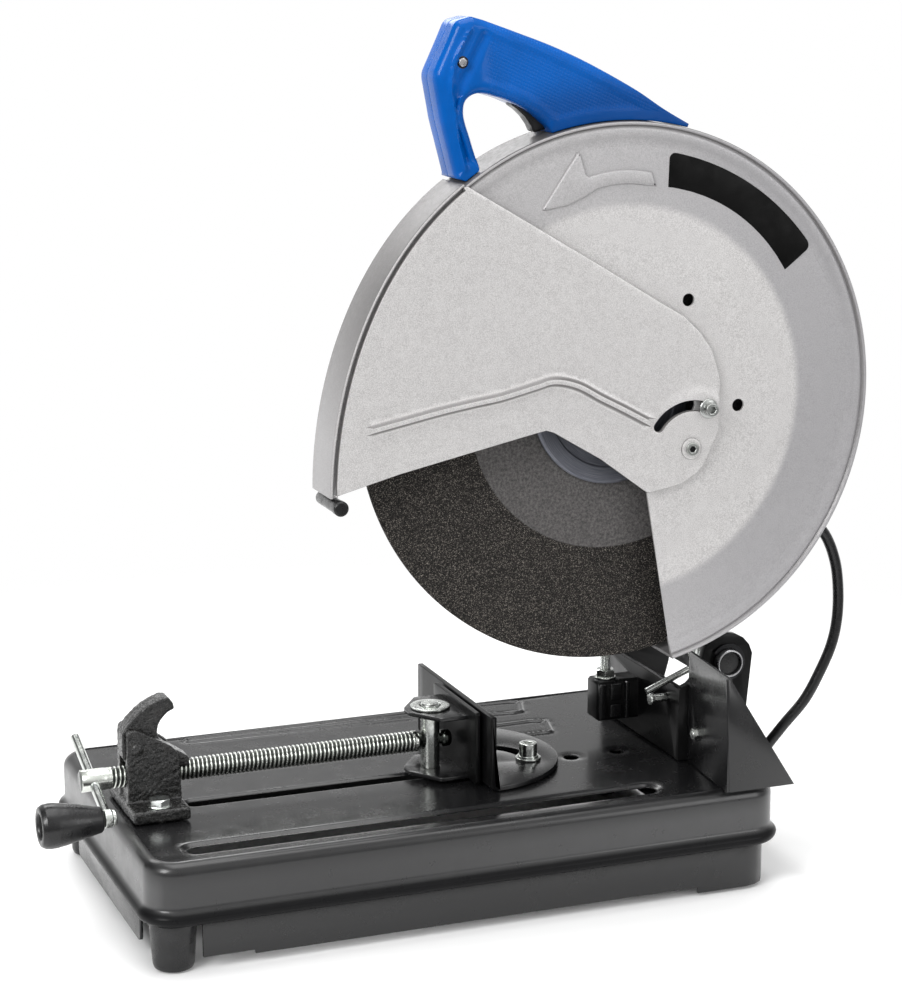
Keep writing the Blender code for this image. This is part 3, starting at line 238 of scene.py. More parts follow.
# ------------------------------------------------------------------ materials
def span(x0, x1):
    """A range of x in the object's metres."""
    return (x0 + BASE_X) * MM, (x1 + BASE_X) * MM


def grey(value):
    return (value,) * 3


def silver_paint():
    mat = Mat("silver_paint", rough=0.42, metal=0.35, coat=0.06, coat_rough=0.3)
    fine = mat.noise(scale=1500, detail=2, rough=0.7)
    mid = mat.noise(scale=260, rough=0.6)
    big = mat.noise(scale=9, detail=2, rough=0.5)
    base = mat.mix(mat.step(fine), (0.43, 0.418, 0.414), (0.71, 0.695, 0.69))
    base = mat.mix(mat.step(mid, to=(0.0, 0.28)), base, (0.73, 0.72, 0.71))
    base = mat.mix(mat.step(big, over=(0.35, 0.65), to=(0.0, 0.15)), base, (0.55, 0.535, 0.54))
    # painted shade: the guard's outer ring is darker, most of all to the right
    radius = mat.radius()
    y = mat.xyz()[1]
    x = mat.xyz()[0]
    ring = mat.mul(mat.step(radius, over=(0.1265, 0.1335)), mat.step(y, over=(-0.1232, -0.1222)))
    right = mat.step(x, over=span(20, 230), to=(0.62, 1.0))
    base = mat.mix(mat.mul(ring, mat.mul(right, 0.66)), base, (0.28, 0.275, 0.292))
    # painted shade: sheared edges, the flanks of the bead and the rolled rim are darker than the flats
    facing = mat.xyz(mat.normal())
    flank = mat.step(mat.math("ABSOLUTE", facing[1]), over=(0.965, 0.6))
    cover = mat.mul(mat.step(y, over=(-0.1226, -0.1231)), 0.85)
    outermost = (0.1765, 0.1795)
    high = mat.step(mat.xyz()[2], over=(0.30, 0.43), to=(0.22, 0.78))
    rim = mat.mul(mat.step(radius, over=outermost), high)
    # painted shade along the rim from x 0 on, weaker towards +x
    painted_rim_shade = mat.mul(mat.step(x, over=span(0, 16)), mat.step(x, over=span(190, 60), to=(0.55, 0.93)))
    rim = mat.most(rim, mat.mul(painted_rim_shade, mat.step(radius, over=outermost)))
    amount = mat.most(mat.most(cover, rim), 0.32)
    mat.set("Base Color", mat.mix(mat.mul(flank, amount), base, (0.085, 0.08, 0.078)))
    mat.set("Roughness", mat.step(mid, over=(0.2, 0.8), to=(0.34, 0.48)))
    mat.bump(mat.add(fine, mat.mul(mid, 0.8)), strength=0.22, distance=0.0004,
             normal=mat.bevel(0.0006))
    return mat.mat


def enamel(name="black_enamel", base=(0.0075, 0.0075, 0.008), rough=0.24, wall=False, spec=0.5):
    mat = Mat(name, base, rough, coat=0.12, spec=spec)
    peel = mat.noise(scale=210, detail=2, rough=0.5)
    dust = mat.noise(scale=60, detail=4, rough=0.65)
    colour = mat.mix(mat.step(dust, over=(0.45, 0.75), to=(0.0, 0.22)), base, (0.013, 0.013, 0.0135))
    if wall:
        # painted sheen on the sides, fading towards the top and the -x end but full on faces turned to -x,
        # mottled a little by the dust noise
        x, _, z = mat.xyz()
        facing = mat.xyz(mat.normal())
        painted_sheen = mat.mul(mat.step(z, over=(0.0735, 0.056)), mat.step(z, over=(0.0425, 0.0465)))
        along = mat.most(mat.step(x, over=(-0.16, 0.19), to=(0.35, 1.0)),
                         mat.step(facing[0], over=(-0.4, -0.8)))
        painted_sheen = mat.mul(painted_sheen, mat.mul(along, mat.step(dust, to=(0.85, 1.0))))
        colour = mat.mix(painted_sheen, colour, (0.052, 0.052, 0.053))
    mat.set("Base Color", colour)
    mat.set("Roughness", mat.step(dust, over=(0.3, 0.8), to=(rough - 0.03, rough + 0.07)))
    # the underside of the rolled lip stays in its own shade
    z = mat.xyz()[2]
    under = mat.mul(mat.step(z, over=(0.0440, 0.0415)), mat.step(z, over=(0.0327, 0.0333)))
    coat = 0.24 * spec
    mat.set("Specular IOR Level", mat.sub(spec, mat.mul(under, spec * 0.84)))
    mat.set("Coat Weight", mat.sub(coat, mat.mul(under, coat)))
    grain = mat.mul(mat.noise(scale=1800, detail=2), 0.04)
    mat.bump(mat.add(peel, grain), strength=0.04, distance=0.0004)
    return mat.mat


def cast_black():
    mat = Mat("cast_black", rough=0.3, coat=0.35, coat_rough=0.1)
    lumps = mat.noise(scale=230, detail=4, rough=0.66, distortion=0.5)
    fine = mat.noise(scale=700, rough=0.7)
    colour = mat.ramp(lumps, [(0.4, grey(0.001)), (0.54, (0.004, 0.0038, 0.0035)),
                              (0.66, (0.014, 0.0125, 0.0115)), (0.8, (0.06, 0.054, 0.048))])
    patches = mat.step(mat.noise(scale=500, rough=0.7), over=(0.4, 0.62), to=(0.0, 0.75))
    wear = mat.mul(mat.edge(0.0011, over=(0.97, 0.84)), patches)
    mat.set("Base Color", mat.mix(wear, colour, (0.42, 0.41, 0.39)))
    mat.set("Roughness", mat.step(fine, to=(0.14, 0.36)))
    mat.set("Metallic", mat.mul(wear, 0.7))
    mat.bump(mat.add(lumps, mat.mul(fine, 0.25)), strength=0.9, distance=0.0022)
    return mat.mat


def zinc(name="zinc", colour=(0.64, 0.66, 0.64), rough=0.2):
    mat = Mat(name, colour, rough, metal=1.0)
    cloud = mat.noise(scale=90, rough=0.6)
    yellowed = tuple(c * k for c, k in zip(colour, (0.82, 0.83, 0.78)))
    blued = tuple(c * k for c, k in zip(colour, (0.85, 0.9, 1.0)))
    base = mat.mix(mat.step(cloud, over=(0.35, 0.7), to=(0.0, 0.5)), colour, yellowed)
    broad = mat.step(mat.noise(scale=35, detail=2), over=(0.5, 0.75), to=(0.0, 0.3))
    mat.set("Base Color", mat.mix(broad, base, blued))
    mat.set("Roughness", mat.step(cloud, to=(rough - 0.04, rough + 0.1)))
    mat.bump(mat.noise(scale=1400, detail=2, rough=0.6), strength=0.03, distance=0.0002)
    return mat.mat


def zinc_thread():
    """Zinc on the lead screw: bright on the crests, with painted shade dark in the roots."""
    mat = Mat("zinc_thread", rough=0.2, metal=1.0)
    place = mat.xyz()
    radius = mat.length(mat.sub(place[1], SCREW_Y * MM), mat.sub(place[2], SCREW_Z * MM))
    cloud = mat.noise(scale=90, rough=0.6)
    crest = mat.mix(mat.step(cloud, over=(0.35, 0.7), to=(0.0, 0.5)),
                    (0.72, 0.74, 0.70), (0.56, 0.60, 0.54))
    mat.set("Base Color", mat.mix(mat.step(radius, over=(0.00655, 0.00735)),
                                  (0.05, 0.054, 0.05), crest))
    mat.set("Roughness", mat.step(cloud, to=(0.18, 0.3)))
    return mat.mat


def steel():
    mat = Mat("steel", (0.42, 0.42, 0.43), rough=0.3, metal=1.0)
    grain = mat.noise(scale=1, detail=4, rough=0.6, vec=mat.stretch((60, 2400, 60)))
    mat.set("Base Color", mat.mix(mat.step(grain), (0.33, 0.33, 0.34), (0.52, 0.52, 0.53)))
    mat.set("Roughness", mat.step(mat.noise(scale=180), to=(0.22, 0.42)))
    mat.bump(grain, strength=0.15, distance=0.0002, normal=mat.bevel(0.0005))
    return mat.mat


def flange_steel():
    """Faced steel: fine turning marks round the spindle."""
    mat = Mat("flange_steel", (0.1, 0.105, 0.125), rough=0.4, metal=0.75)
    marks = mat.noise(scale=1, detail=4, rough=0.6, vec=mat.stretch((3.0, 1, 3800), mat.polar()))
    mat.set("Base Color", mat.mix(mat.step(marks), (0.085, 0.09, 0.11), (0.18, 0.185, 0.21)))
    mat.set("Roughness", mat.step(mat.noise(scale=140), to=(0.34, 0.5)))
    mat.bump(marks, strength=0.25, distance=0.0003, normal=mat.bevel(0.0005))
    return mat.mat


def abrasive():
    mat = Mat("abrasive", rough=0.85, spec=0.2)
    cell = mat.new("SeparateColor", mat.voronoi(scale=2300, out="Color")).outputs[0]
    dust = mat.noise(scale=900, detail=4, rough=0.7)
    grit = mat.ramp(cell, [(0.0, (0.006, 0.0055, 0.005)), (0.45, (0.012, 0.011, 0.010)),
                           (0.7, (0.036, 0.032, 0.029)), (0.88, (0.11, 0.098, 0.088)),
                           (1.0, (0.30, 0.27, 0.235))])
    grit = mat.mix(mat.step(dust, over=(0.35, 0.7), to=(0.0, 0.5)), grit, grey(0.014))
    # the paper ring round the hub, thinner grit showing through
    radius = mat.radius()
    ring = mat.step(radius, over=(0.1016, 0.1006))
    mottle = mat.step(mat.noise(scale=520, detail=4, rough=0.75), over=(0.3, 0.72))
    specks = mat.step(mat.noise(scale=1600, detail=2, rough=0.6), over=(0.55, 0.8), to=(0.0, 0.5))
    paper = mat.mix(mottle, (0.050, 0.048, 0.048), (0.145, 0.137, 0.134))
    paper = mat.mix(specks, paper, grey(0.2))
    mat.set("Base Color", mat.mix(ring, grit, paper))
    glint = mat.step(cell, over=(0.9, 0.97))
    mat.set("Roughness", mat.sub(0.85, mat.mul(glint, 0.5)))
    height = mat.add(mat.mul(cell, 0.7), dust)
    height = mat.mul(height, mat.step(radius, over=(0.1006, 0.1016), to=(0.3, 1.0)))
    mat.bump(height, strength=0.75, distance=0.0009)
    return mat.mat


def blue_plastic():
    mat = Mat("blue_plastic", (0.0, 0.1, 0.44), rough=0.2, coat_rough=0.12, spec=0.16)
    x, y, z = mat.xyz()
    # a field of fine raised dots on the grip's sides, its rows tilted
    tilt = math.radians(-24)
    cos, sin = math.cos(tilt), math.sin(tilt)
    rows = mat.new("CombineXYZ", mat.add(mat.mul(x, cos), mat.mul(z, sin)),
                   mat.sub(mat.mul(z, cos), mat.mul(x, sin))).outputs[0]
    dots = mat.step(mat.voronoi(scale=480, out="Distance", vec=rows, randomness=0.0),
                    over=(0.55, 0.2))
    radius = mat.radius()
    zone = mat.mul(mat.step(x, over=span(8, 16)), mat.step(radius, over=(0.1905, 0.1925)))
    side = mat.mul(mat.step(y, over=(-0.113, -0.1145)), zone)
    # painted shade: darker low down, next to the guard
    painted_low_shade = mat.mul(mat.step(radius, over=(0.222, 0.196)), mat.step(x, over=span(8, 50), to=(0.0, 0.6)))
    base = mat.mix(mat.step(mat.noise(scale=30)), (0.0, 0.084, 0.36), (0.0, 0.102, 0.44))
    mat.set("Base Color", mat.mix(painted_low_shade, base, (0.0, 0.036, 0.17)))
    mat.set("Roughness", mat.add(mat.step(mat.noise(scale=150), to=(0.15, 0.24)),
                                 mat.mul(side, 0.15)))
    dot_weight, grain_weight = 1.0, 0.06
    height = mat.add(mat.mul(mat.mul(dots, side), dot_weight),
                     mat.mul(mat.noise(scale=900, detail=2), grain_weight))
    mat.bump(height, strength=0.35, distance=0.0004)
    return mat.mat


def plastic(name, colour, rough, grain, coat=0.0, spec=0.5):
    mat = Mat(name, colour, rough, coat=coat, coat_rough=0.1, spec=spec)
    skin = mat.noise(scale=grain, rough=0.6)
    dusty = tuple(min(1, c * 1.9 + 0.004) for c in colour)
    dust = mat.step(mat.noise(scale=70, detail=4, rough=0.6), over=(0.4, 0.75), to=(0.0, 0.6))
    mat.set("Base Color", mat.mix(dust, colour, dusty))
    mat.set("Roughness", mat.step(mat.noise(scale=120), to=(rough - 0.07, rough + 0.12)))
    mat.bump(skin, strength=0.22, distance=0.0004, normal=mat.bevel(0.0006))
    return mat.mat


def cast_aluminium():
    mat = Mat("cast_aluminium", rough=0.5, metal=0.75)
    skin = mat.noise(scale=420, detail=4, rough=0.65)
    edge = mat.edge(0.0012, over=(0.985, 0.86))
    base = mat.mix(mat.step(skin), (0.28, 0.28, 0.29), (0.42, 0.42, 0.43))
    mat.set("Base Color", mat.mix(mat.mul(edge, 0.5), base, grey(0.62)))
    mat.set("Roughness", mat.step(mat.noise(scale=90), to=(0.42, 0.62)))
    mat.bump(skin, strength=0.35, distance=0.0006, normal=mat.bevel(0.0012))
    return mat.mat


MATS = {
    "silver_paint": silver_paint(),
    "black_enamel": enamel(),
    "cast_black": cast_black(),
    "zinc": zinc(),
    "steel": steel(),
    "flange_steel": flange_steel(),
    "abrasive": abrasive(),
    "blue_plastic": blue_plastic(),
    "black_plastic": plastic("black_plastic", (0.0055, 0.0055, 0.006), rough=0.3, grain=600,
                             coat=0.05, spec=0.4),
    "grey_plastic": plastic("grey_plastic", (0.06, 0.06, 0.063), rough=0.42, grain=700),
    "black_rubber": plastic("black_rubber", (0.004, 0.004, 0.0045), rough=0.28, grain=900,
                            spec=0.45),
    "cast_aluminium": cast_aluminium(),
    "copper": zinc("copper", (0.6, 0.26, 0.13), rough=0.32),
    "laminations": zinc("laminations", (0.2, 0.2, 0.22), rough=0.5),
    "carbon": plastic("carbon", grey(0.02), rough=0.6, grain=900),
    "zinc_thread": zinc_thread(),
    "zinc_dull": zinc("zinc_dull", (0.40, 0.41, 0.40), rough=0.3),
    # painted shade: a darker, less glossy copy of the black enamel for the fence's upright, the jaw's face
    # and the pivot bracket
    "shaded_enamel": enamel("shaded_enamel", (0.004, 0.004, 0.0042), rough=0.3, spec=0.14),
    "wall_enamel": enamel("wall_enamel", rough=0.3, wall=True),
    "dark_steel": zinc("dark_steel", (0.03, 0.03, 0.032), rough=0.3),
    "label": plastic("label_black", grey(0.001), rough=0.4, grain=1500, spec=0.12),
}


# ------------------------------------------------------------------ outlines
def arc(cx, cy, radius, start, end, count):
    """Points from one angle to another, in degrees."""
    return [(cx + radius * math.cos(math.radians(a)), cy + radius * math.sin(math.radians(a)))
            for a in np.linspace(start, end, count)]


def wheel_arc(radius, start, end, count):
    return arc(*WHEEL, radius, start, end, count)


def circle(cx, cy, radius, count=40):
    return arc(cx, cy, radius, 0, 360 - 360 / count, count)


def hexagon(cx, cy, radius, start=0):
    return arc(cx, cy, radius, start, start + 300, 6)


def stadium(x0, x1, y, width):
    half = width / 2
    return arc(x1 - half, y, half, -90, 90, 13) + arc(x0 + half, y, half, 90, 270, 13)


def arc_slot(cx, cy, radius, width, start, end):
    """A round-ended slot bent along an arc."""
    (first,), (last,) = (arc(cx, cy, radius, a, a, 1) for a in (start, end))
    half = width / 2
    return (arc(cx, cy, radius + half, start, end, 24)
            + arc(*last, half, end, end + 180, 11)[1:-1]
            + arc(cx, cy, radius - half, end, start, 24)
            + arc(*first, half, start + 180, start + 360, 11)[1:-1])


def fillet(points, radii, steps=6, closed=True):
    """Rounds the corners of an outline; radii is one radius or one for each."""
    out, count = [], len(points)
    radii = [radii] * count if isinstance(radii, (int, float)) else list(radii)
    for i in range(count):
        corner = Vector(points[i])
        if not closed and i in (0, count - 1):
            out.append(tuple(corner))
            continue
        before, after = Vector(points[i - 1]), Vector(points[(i + 1) % count])
        u, v = (before - corner).normalized(), (after - corner).normalized()
        if radii[i] <= 0 or abs(u.dot(v)) > 0.9995:
            out.append(tuple(corner))
            continue
        half = math.acos(max(-1, min(1, u.dot(v)))) / 2
        cut = min(radii[i] / math.tan(half), 0.48 * (before - corner).length,
                  0.48 * (after - corner).length)
        centre = corner + (u + v).normalized() * (cut * math.tan(half) / math.sin(half))
        start, end = corner + u * cut - centre, corner + v * cut - centre
        turn = start.angle_signed(end)
        for k in range(steps + 1):
            cos, sin = math.cos(-turn * k / steps), math.sin(-turn * k / steps)
            spoke = Vector((start.x * cos - start.y * sin, start.x * sin + start.y * cos))
            out.append(tuple(centre + spoke))
    return out


def smooth_line(points, step=1.5):
    """Catmull-Rom curve through points of any dimension, at about one step of spacing."""
    p = np.array(points, float)
    p = np.vstack([2 * p[0] - p[1], p, 2 * p[-1] - p[-2]])
    out = []
    for p0, p1, p2, p3 in zip(p, p[1:], p[2:], p[3:]):
        k0, k1, k2 = (max(np.linalg.norm(b - a) ** 0.5, 1e-6)
                      for a, b in ((p0, p1), (p1, p2), (p2, p3)))
        leave = ((p1 - p0) / k0 - (p2 - p0) / (k0 + k1) + (p2 - p1) / k1) * k1
        arrive = ((p2 - p1) / k1 - (p3 - p1) / (k1 + k2) + (p3 - p2) / k2) * k1
        count = max(2, int(np.linalg.norm(p2 - p1) / step) + 1)
        for t in np.arange(count) / count:
            out.append((2 * t**3 - 3 * t**2 + 1) * p1 + (t**3 - 2 * t**2 + t) * leave
                       + (-2 * t**3 + 3 * t**2) * p2 + (t**3 - t**2) * arrive)
    out.append(p[-2])
    return np.array(out)


def densify(loop, step):
    """Splits a closed outline's long edges."""
    loop = np.asarray(loop, float)
    out = []
    for a, b in zip(loop, np.roll(loop, -1, axis=0)):
        count = max(1, int(np.linalg.norm(b - a) / step))
        out += [a + (b - a) * t / count for t in range(count)]
    return np.array(out)


def unit(vectors):
    return vectors / np.maximum(np.linalg.norm(vectors, axis=1), 1e-9)[:, None]


def left(vectors):
    return np.stack([-vectors[:, 1], vectors[:, 0]], 1)


def line_normals(line):
    return left(unit(np.gradient(line, axis=0)))


def offset(line, distance):
    """An open line moved to its left."""
    return line + line_normals(line) * distance


def inset(loop, distance, into=1.0):
    """A closed outline moved sideways: inwards if it runs anticlockwise and into is 1."""
    points = np.asarray(loop, float)
    side0 = left(unit(points - np.roll(points, 1, axis=0)))
    side1 = left(unit(np.roll(points, -1, axis=0) - points))
    middle = unit(side0 + side1)
    mitre = 1 / np.maximum((middle * side0).sum(1), 0.5)
    return points + middle * (mitre * distance * into)[:, None]


def area(loop):
    p = np.asarray(loop, float)
    q = np.roll(p, -1, axis=0)
    return 0.5 * float((p[:, 0] * q[:, 1] - q[:, 0] * p[:, 1]).sum())


def line_dist(points, line):
    """Distance from each 2-D point to a polyline."""
    points, line = np.asarray(points, float), np.asarray(line, float)
    best = np.full(len(points), 1e9)
    for a, b in zip(line[:-1], line[1:]):
        d = b - a
        t = np.clip(((points - a) @ d) / max(d @ d, 1e-12), 0, 1)
        best = np.minimum(best, np.hypot(*(points - a - t[:, None] * d).T))
    return best


def loop_dist(points, loop):
    return line_dist(points, np.vstack([loop, loop[:1]]))


def wheel_dist(points):
    return np.hypot(points[:, 0] - WHEEL_X, points[:, 1] - WHEEL_Z)


def inside(points, loops):
    points = np.asarray(points, float)
    within = np.zeros(len(points), bool)
    for loop in loops:
        loop = np.asarray(loop, float)
        for (x0, y0), (x1, y1) in zip(loop, np.roll(loop, -1, axis=0)):
            if y0 == y1:
                continue
            crossing = (x1 - x0) * (points[:, 1] - y0) / (y1 - y0) + x0
            within ^= ((y0 > points[:, 1]) != (y1 > points[:, 1])) & (points[:, 0] < crossing)
    return within


def hump(distance, width):
    """A smooth bump, 1 where the distance is 0 and 0 beyond the width."""
    wave = 0.5 * (1 + np.cos(np.pi * np.clip(distance / width, 0, 1)))
    return np.where(distance < width, wave, 0.0)


def ramp(x, a, b):
    """Rises smoothly from 0 at a to 1 at b."""
    t = np.clip((x - a) / (b - a), 0, 1)
    return t * t * (3 - 2 * t)


# ------------------------------------------------------------------ meshes
AXES = {"X": (1, 2, 0), "Y": (0, 2, 1), "Z": (0, 1, 2)}   # two across, then the one along


def lay(axis, points, level):
    """2-D points across an axis, set at a level along it."""
    out = np.zeros((len(points), 3))
    u, v, along = AXES[axis]
    out[:, u], out[:, v] = points[:, 0], points[:, 1]
    out[:, along] = level
    return out


def ring_angles(count):
    return np.linspace(0, 2 * np.pi, count, endpoint=False)


def ring(axis, centre, radius, level, count):
    a = ring_angles(count)
    points = [centre[0] + radius * np.cos(a), centre[1] + radius * np.sin(a)]
    return lay(axis, np.column_stack(points), level)


def loft(rings, close=True, caps=True):
    """Verts and faces of a skin over rings of equal point counts."""
    n = len(rings[0])
    faces = []
    for i in range(len(rings) - 1):
        for j in range(n if close else n - 1):
            k = (j + 1) % n
            faces.append((i * n + j, i * n + k, (i + 1) * n + k, (i + 1) * n + j))
    if caps:
        faces.append(tuple(range(n - 1, -1, -1)))
        faces.append(tuple((len(rings) - 1) * n + j for j in range(n)))
    return np.vstack(rings), faces


def mesh_obj(name, mat, verts, faces, sharp=35, weld=2e-6):
    """An object from base-centred millimetres; sharp is the crease angle in degrees."""
    verts = np.array(verts, float)
    verts[:, 0] += BASE_X
    me = bpy.data.meshes.new(name)
    me.from_pydata((verts * MM).tolist(), [], [tuple(int(i) for i in f) for f in faces])
    bm = bmesh.new()
    bm.from_mesh(me)
    if weld:
        bmesh.ops.remove_doubles(bm, verts=bm.verts, dist=weld)
    bmesh.ops.recalc_face_normals(bm, faces=bm.faces)
    bm.to_mesh(me)
    bm.free()
    me.materials.append(MATS[mat])
    me.shade_smooth()
    me.set_sharp_from_angle(angle=math.radians(sharp))
    obj = bpy.data.objects.new(name, me)
    root.objects.link(obj)
    return obj


def merge(name, *parts):
    """Several one-material objects as one, each keeping its material."""
    mats = []
    bm = bmesh.new()
    for part in parts:
        mat = part.data.materials[0]
        if mat not in mats:
            mats.append(mat)
        start = len(bm.faces)
        bm.from_mesh(part.data)
        bm.faces.ensure_lookup_table()
        for face in bm.faces[start:]:
            face.material_index = mats.index(mat)
    me = bpy.data.meshes.new(name)
    bm.to_mesh(me)
    bm.free()
    for mat in mats:
        me.materials.append(mat)
    for part in parts:
        old = part.data
        bpy.data.objects.remove(part)
        bpy.data.meshes.remove(old)
    out = bpy.data.objects.new(name, me)
    root.objects.link(out)
    return out


def put(obj, body, *cad, slot=None):
    """Rides on its body and stands for its CAD nodes, hiding them; the slot argument is not used."""
    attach(obj, body)
    if cad:
        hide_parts(*cad)


def lathe(name, mat, profile, centre, axis, count, soft=0.0, sharp=35):
    """Turned piece from (radius, level) pairs; a profile that ends where it starts is closed."""
    if profile[0] == profile[-1]:
        profile = fillet(profile[:-1], soft, 3) if soft else profile[:-1]
        profile.append(profile[0])
    elif soft:
        profile = fillet(profile, soft, 3, closed=False)
    rings = [ring(axis, centre, radius, level, count) for radius, level in profile]
    return mesh_obj(name, mat, *loft(rings, caps=False), sharp)


# profiles for the lathe
def rod(radius, start, end):
    return [(0, start), (radius, start), (radius, end), (0, end)]


def tube(inner, outer, start, end):
    return [(inner, start), (outer, start), (outer, end), (inner, end), (inner, start)]


def shank(start, end):
    """An 8 mm bolt shank, chamfered at its start."""
    return [(0, start), (3.6, start), (4.0, start + 0.6), (4.0, end), (0, end)]


def nearer(y, pairs):
    """(radius, distance) pairs measured towards the near side from y."""
    return [(radius, y - distance) for radius, distance in pairs]


def hex_bar(name, mat, radius, start, end, centre, axis="Z", turn=0.0):
    """A hexagon of this radius across its corners, its end turned to a slight cone."""
    centre = np.array(centre)
    points = densify(fillet(hexagon(*centre, radius, math.degrees(turn)), 0.35, 2), 0.8)
    reach = np.hypot(*(points - centre).T)
    flat = radius * math.cos(math.pi / 6)
    way = 1 if end > start else -1

    def trimmed(limit, level):
        kept = centre + (points - centre) * (np.minimum(reach, limit) / reach)[:, None]
        return lay(axis, kept, level)

    drop = np.maximum(0, reach - (flat - 0.3)) * 0.55
    rings = [trimmed(radius, start), trimmed(radius, end - way * drop - way * 0.15),
             trimmed(flat - 0.45, end)]
    return mesh_obj(name, mat, *loft(rings), 25)


def sheet(name, mat, outlines, back, front, axis="Z", bevel=0.5, bevel_back=0.0, edge_step=2.5,
          steps=3, sharp=35, grid_step=None, skip=None, extra=None, height=None, bevel_at=None):
    """A plate across an axis, from closed outlines (outside first, holes after).

    Its edges are rounded, bevel_at scaling the front's bevel along them. The front face is
    raised by height at its vertices: the rim, the extra points and a grid except where skip says.
    """
    way = 1 if front > back else -1
    loops = [densify(outline, edge_step) for outline in outlines]
    into = [(1.0 if area(loop) > 0 else -1.0) * (-1 if i else 1) for i, loop in enumerate(loops)]
    depths = [bevel * (bevel_at(loop) if bevel_at else np.ones(len(loop))) for loop in loops]
    verts, faces = [], []

    def add(points, level):
        verts.extend(lay(axis, points, level).tolist())
        return len(verts) - len(points)

    def relief(points):
        return front + height(points) * way if height else front

    def add_face(depths, inner, level):
        rims = [inset(*item) for item in zip(loops, depths, into)]
        points, edges = [], []
        for rim in rims:
            base = len(points)
            points += rim.tolist()
            edges += [(base + i, base + (i + 1) % len(rim)) for i in range(len(rim))]
        if inner is not None:
            clear = inside(inner, rims)
            for rim in rims:
                clear &= loop_dist(inner, rim) > 0.35 * (grid_step or edge_step)
            points += inner[clear].tolist()
        found = delaunay_2d_cdt([Vector(p) for p in points], edges, [], 0, 1e-5)
        flat = np.array([(p.x, p.y) for p in found[0]])
        middles = np.array([flat[list(face)].mean(0) for face in found[2]])
        base = add(flat, level(flat))
        for face, good in zip(found[2], inside(middles, rims)):
            if good:
                faces.append(tuple(base + i for i in face))

    inner = None if extra is None else np.asarray(extra, float)
    if grid_step:
        (x0, y0), (x1, y1) = loops[0].min(0), loops[0].max(0)
        x, y = np.meshgrid(np.arange(x0, x1, grid_step), np.arange(y0, y1, grid_step * 0.866))
        x = x + (np.arange(len(y)) % 2)[:, None] * grid_step / 2
        grid = np.stack([x.ravel(), y.ravel()], 1)
        inner = np.vstack([grid[~skip(grid)], inner])
    add_face(depths, inner, relief)
    add_face([bevel_back] * len(loops), None, lambda points: back)
    for loop, depth, k in zip(loops, depths, into):
        starts = []
        for t in np.linspace(0, 1, steps + 1) if bevel else [0.0]:
            a = t * math.pi / 2
            points = inset(loop, depth * (1 - math.sin(a)), k)
            level = front - way * depth * (1 - math.cos(a)) if t else relief(points)
            starts.append(add(points, level))
        for t in np.linspace(1, 0, steps + 1) if bevel_back else [0.0]:
            a = t * math.pi / 2
            points = inset(loop, bevel_back * (1 - math.sin(a)), k)
            starts.append(add(points, back + way * bevel_back * (1 - math.cos(a))))
        for first, second in zip(starts, starts[1:]):
            for i in range(len(loop)):
                j = (i + 1) % len(loop)
                faces.append((first + i, first + j, second + j, second + i))
    return mesh_obj(name, mat, verts, faces, sharp)


def sweep(name, mat, path, radius, count=20):
    """A round rod along a 3-D path; radius is one value or one for each point."""
    path = np.asarray(path, float)
    ahead = unit(np.gradient(path, axis=0))
    up = np.array([0, 0, 1.0]) if abs(ahead[0][2]) < 0.8 else np.array([0, 1.0, 0])
    across = np.cross(ahead[0], up)
    across /= np.linalg.norm(across)
    a = ring_angles(count)
    rings = []
    for point, way, size in zip(path, ahead, np.broadcast_to(radius, len(path))):
        across = across - way * (across @ way)
        across /= np.linalg.norm(across)
        other = np.cross(way, across)
        rings.append(point + size * (np.cos(a)[:, None] * across + np.sin(a)[:, None] * other))
    return mesh_obj(name, mat, *loft(rings), 40)


def drop_custom_normals(me):
    for attribute in [a for a in me.attributes if a.name == "custom_normal"]:
        me.attributes.remove(attribute)


def casting(name, me, voxel, smooth, rough, seed):
    """A cast skin: the mesh remeshed finely, its corners rounded and its surface roughened."""
    drop_custom_normals(me)
    source = bpy.data.objects.new(name + "_source", me)
    root.objects.link(source)
    source.modifiers.new("weld", "WELD").merge_threshold = 1e-5
    remesh = source.modifiers.new("remesh", "REMESH")
    remesh.mode = "VOXEL"
    remesh.voxel_size = voxel * MM
    relax = source.modifiers.new("smooth", "SMOOTH")
    relax.iterations = smooth
    relax.factor = 0.5
    bpy.context.view_layer.update()
    evaluated = source.evaluated_get(bpy.context.evaluated_depsgraph_get())
    out = bpy.data.meshes.new_from_object(evaluated)
    bpy.data.objects.remove(source)
    co = np.empty(len(out.vertices) * 3, np.float32)
    normals = np.empty(len(out.vertices) * 3, np.float32)
    out.vertices.foreach_get("co", co)
    out.vertex_normals.foreach_get("vector", normals)
    co, normals = co.reshape(-1, 3), normals.reshape(-1, 3)
    shift = Vector((seed, 0, 0))
    depth = np.array([noise.fractal(Vector(c) * 500 + shift, 0.7, 2.1, 3) for c in co])
    co += normals * (depth[:, None] * rough * MM).astype(np.float32)
    out.vertices.foreach_set("co", co.ravel())
    out.materials.clear()
    out.materials.append(MATS["cast_black"])
    out.shade_smooth()
    out.name = name
    obj = bpy.data.objects.new(name, out)
    root.objects.link(obj)
    return obj


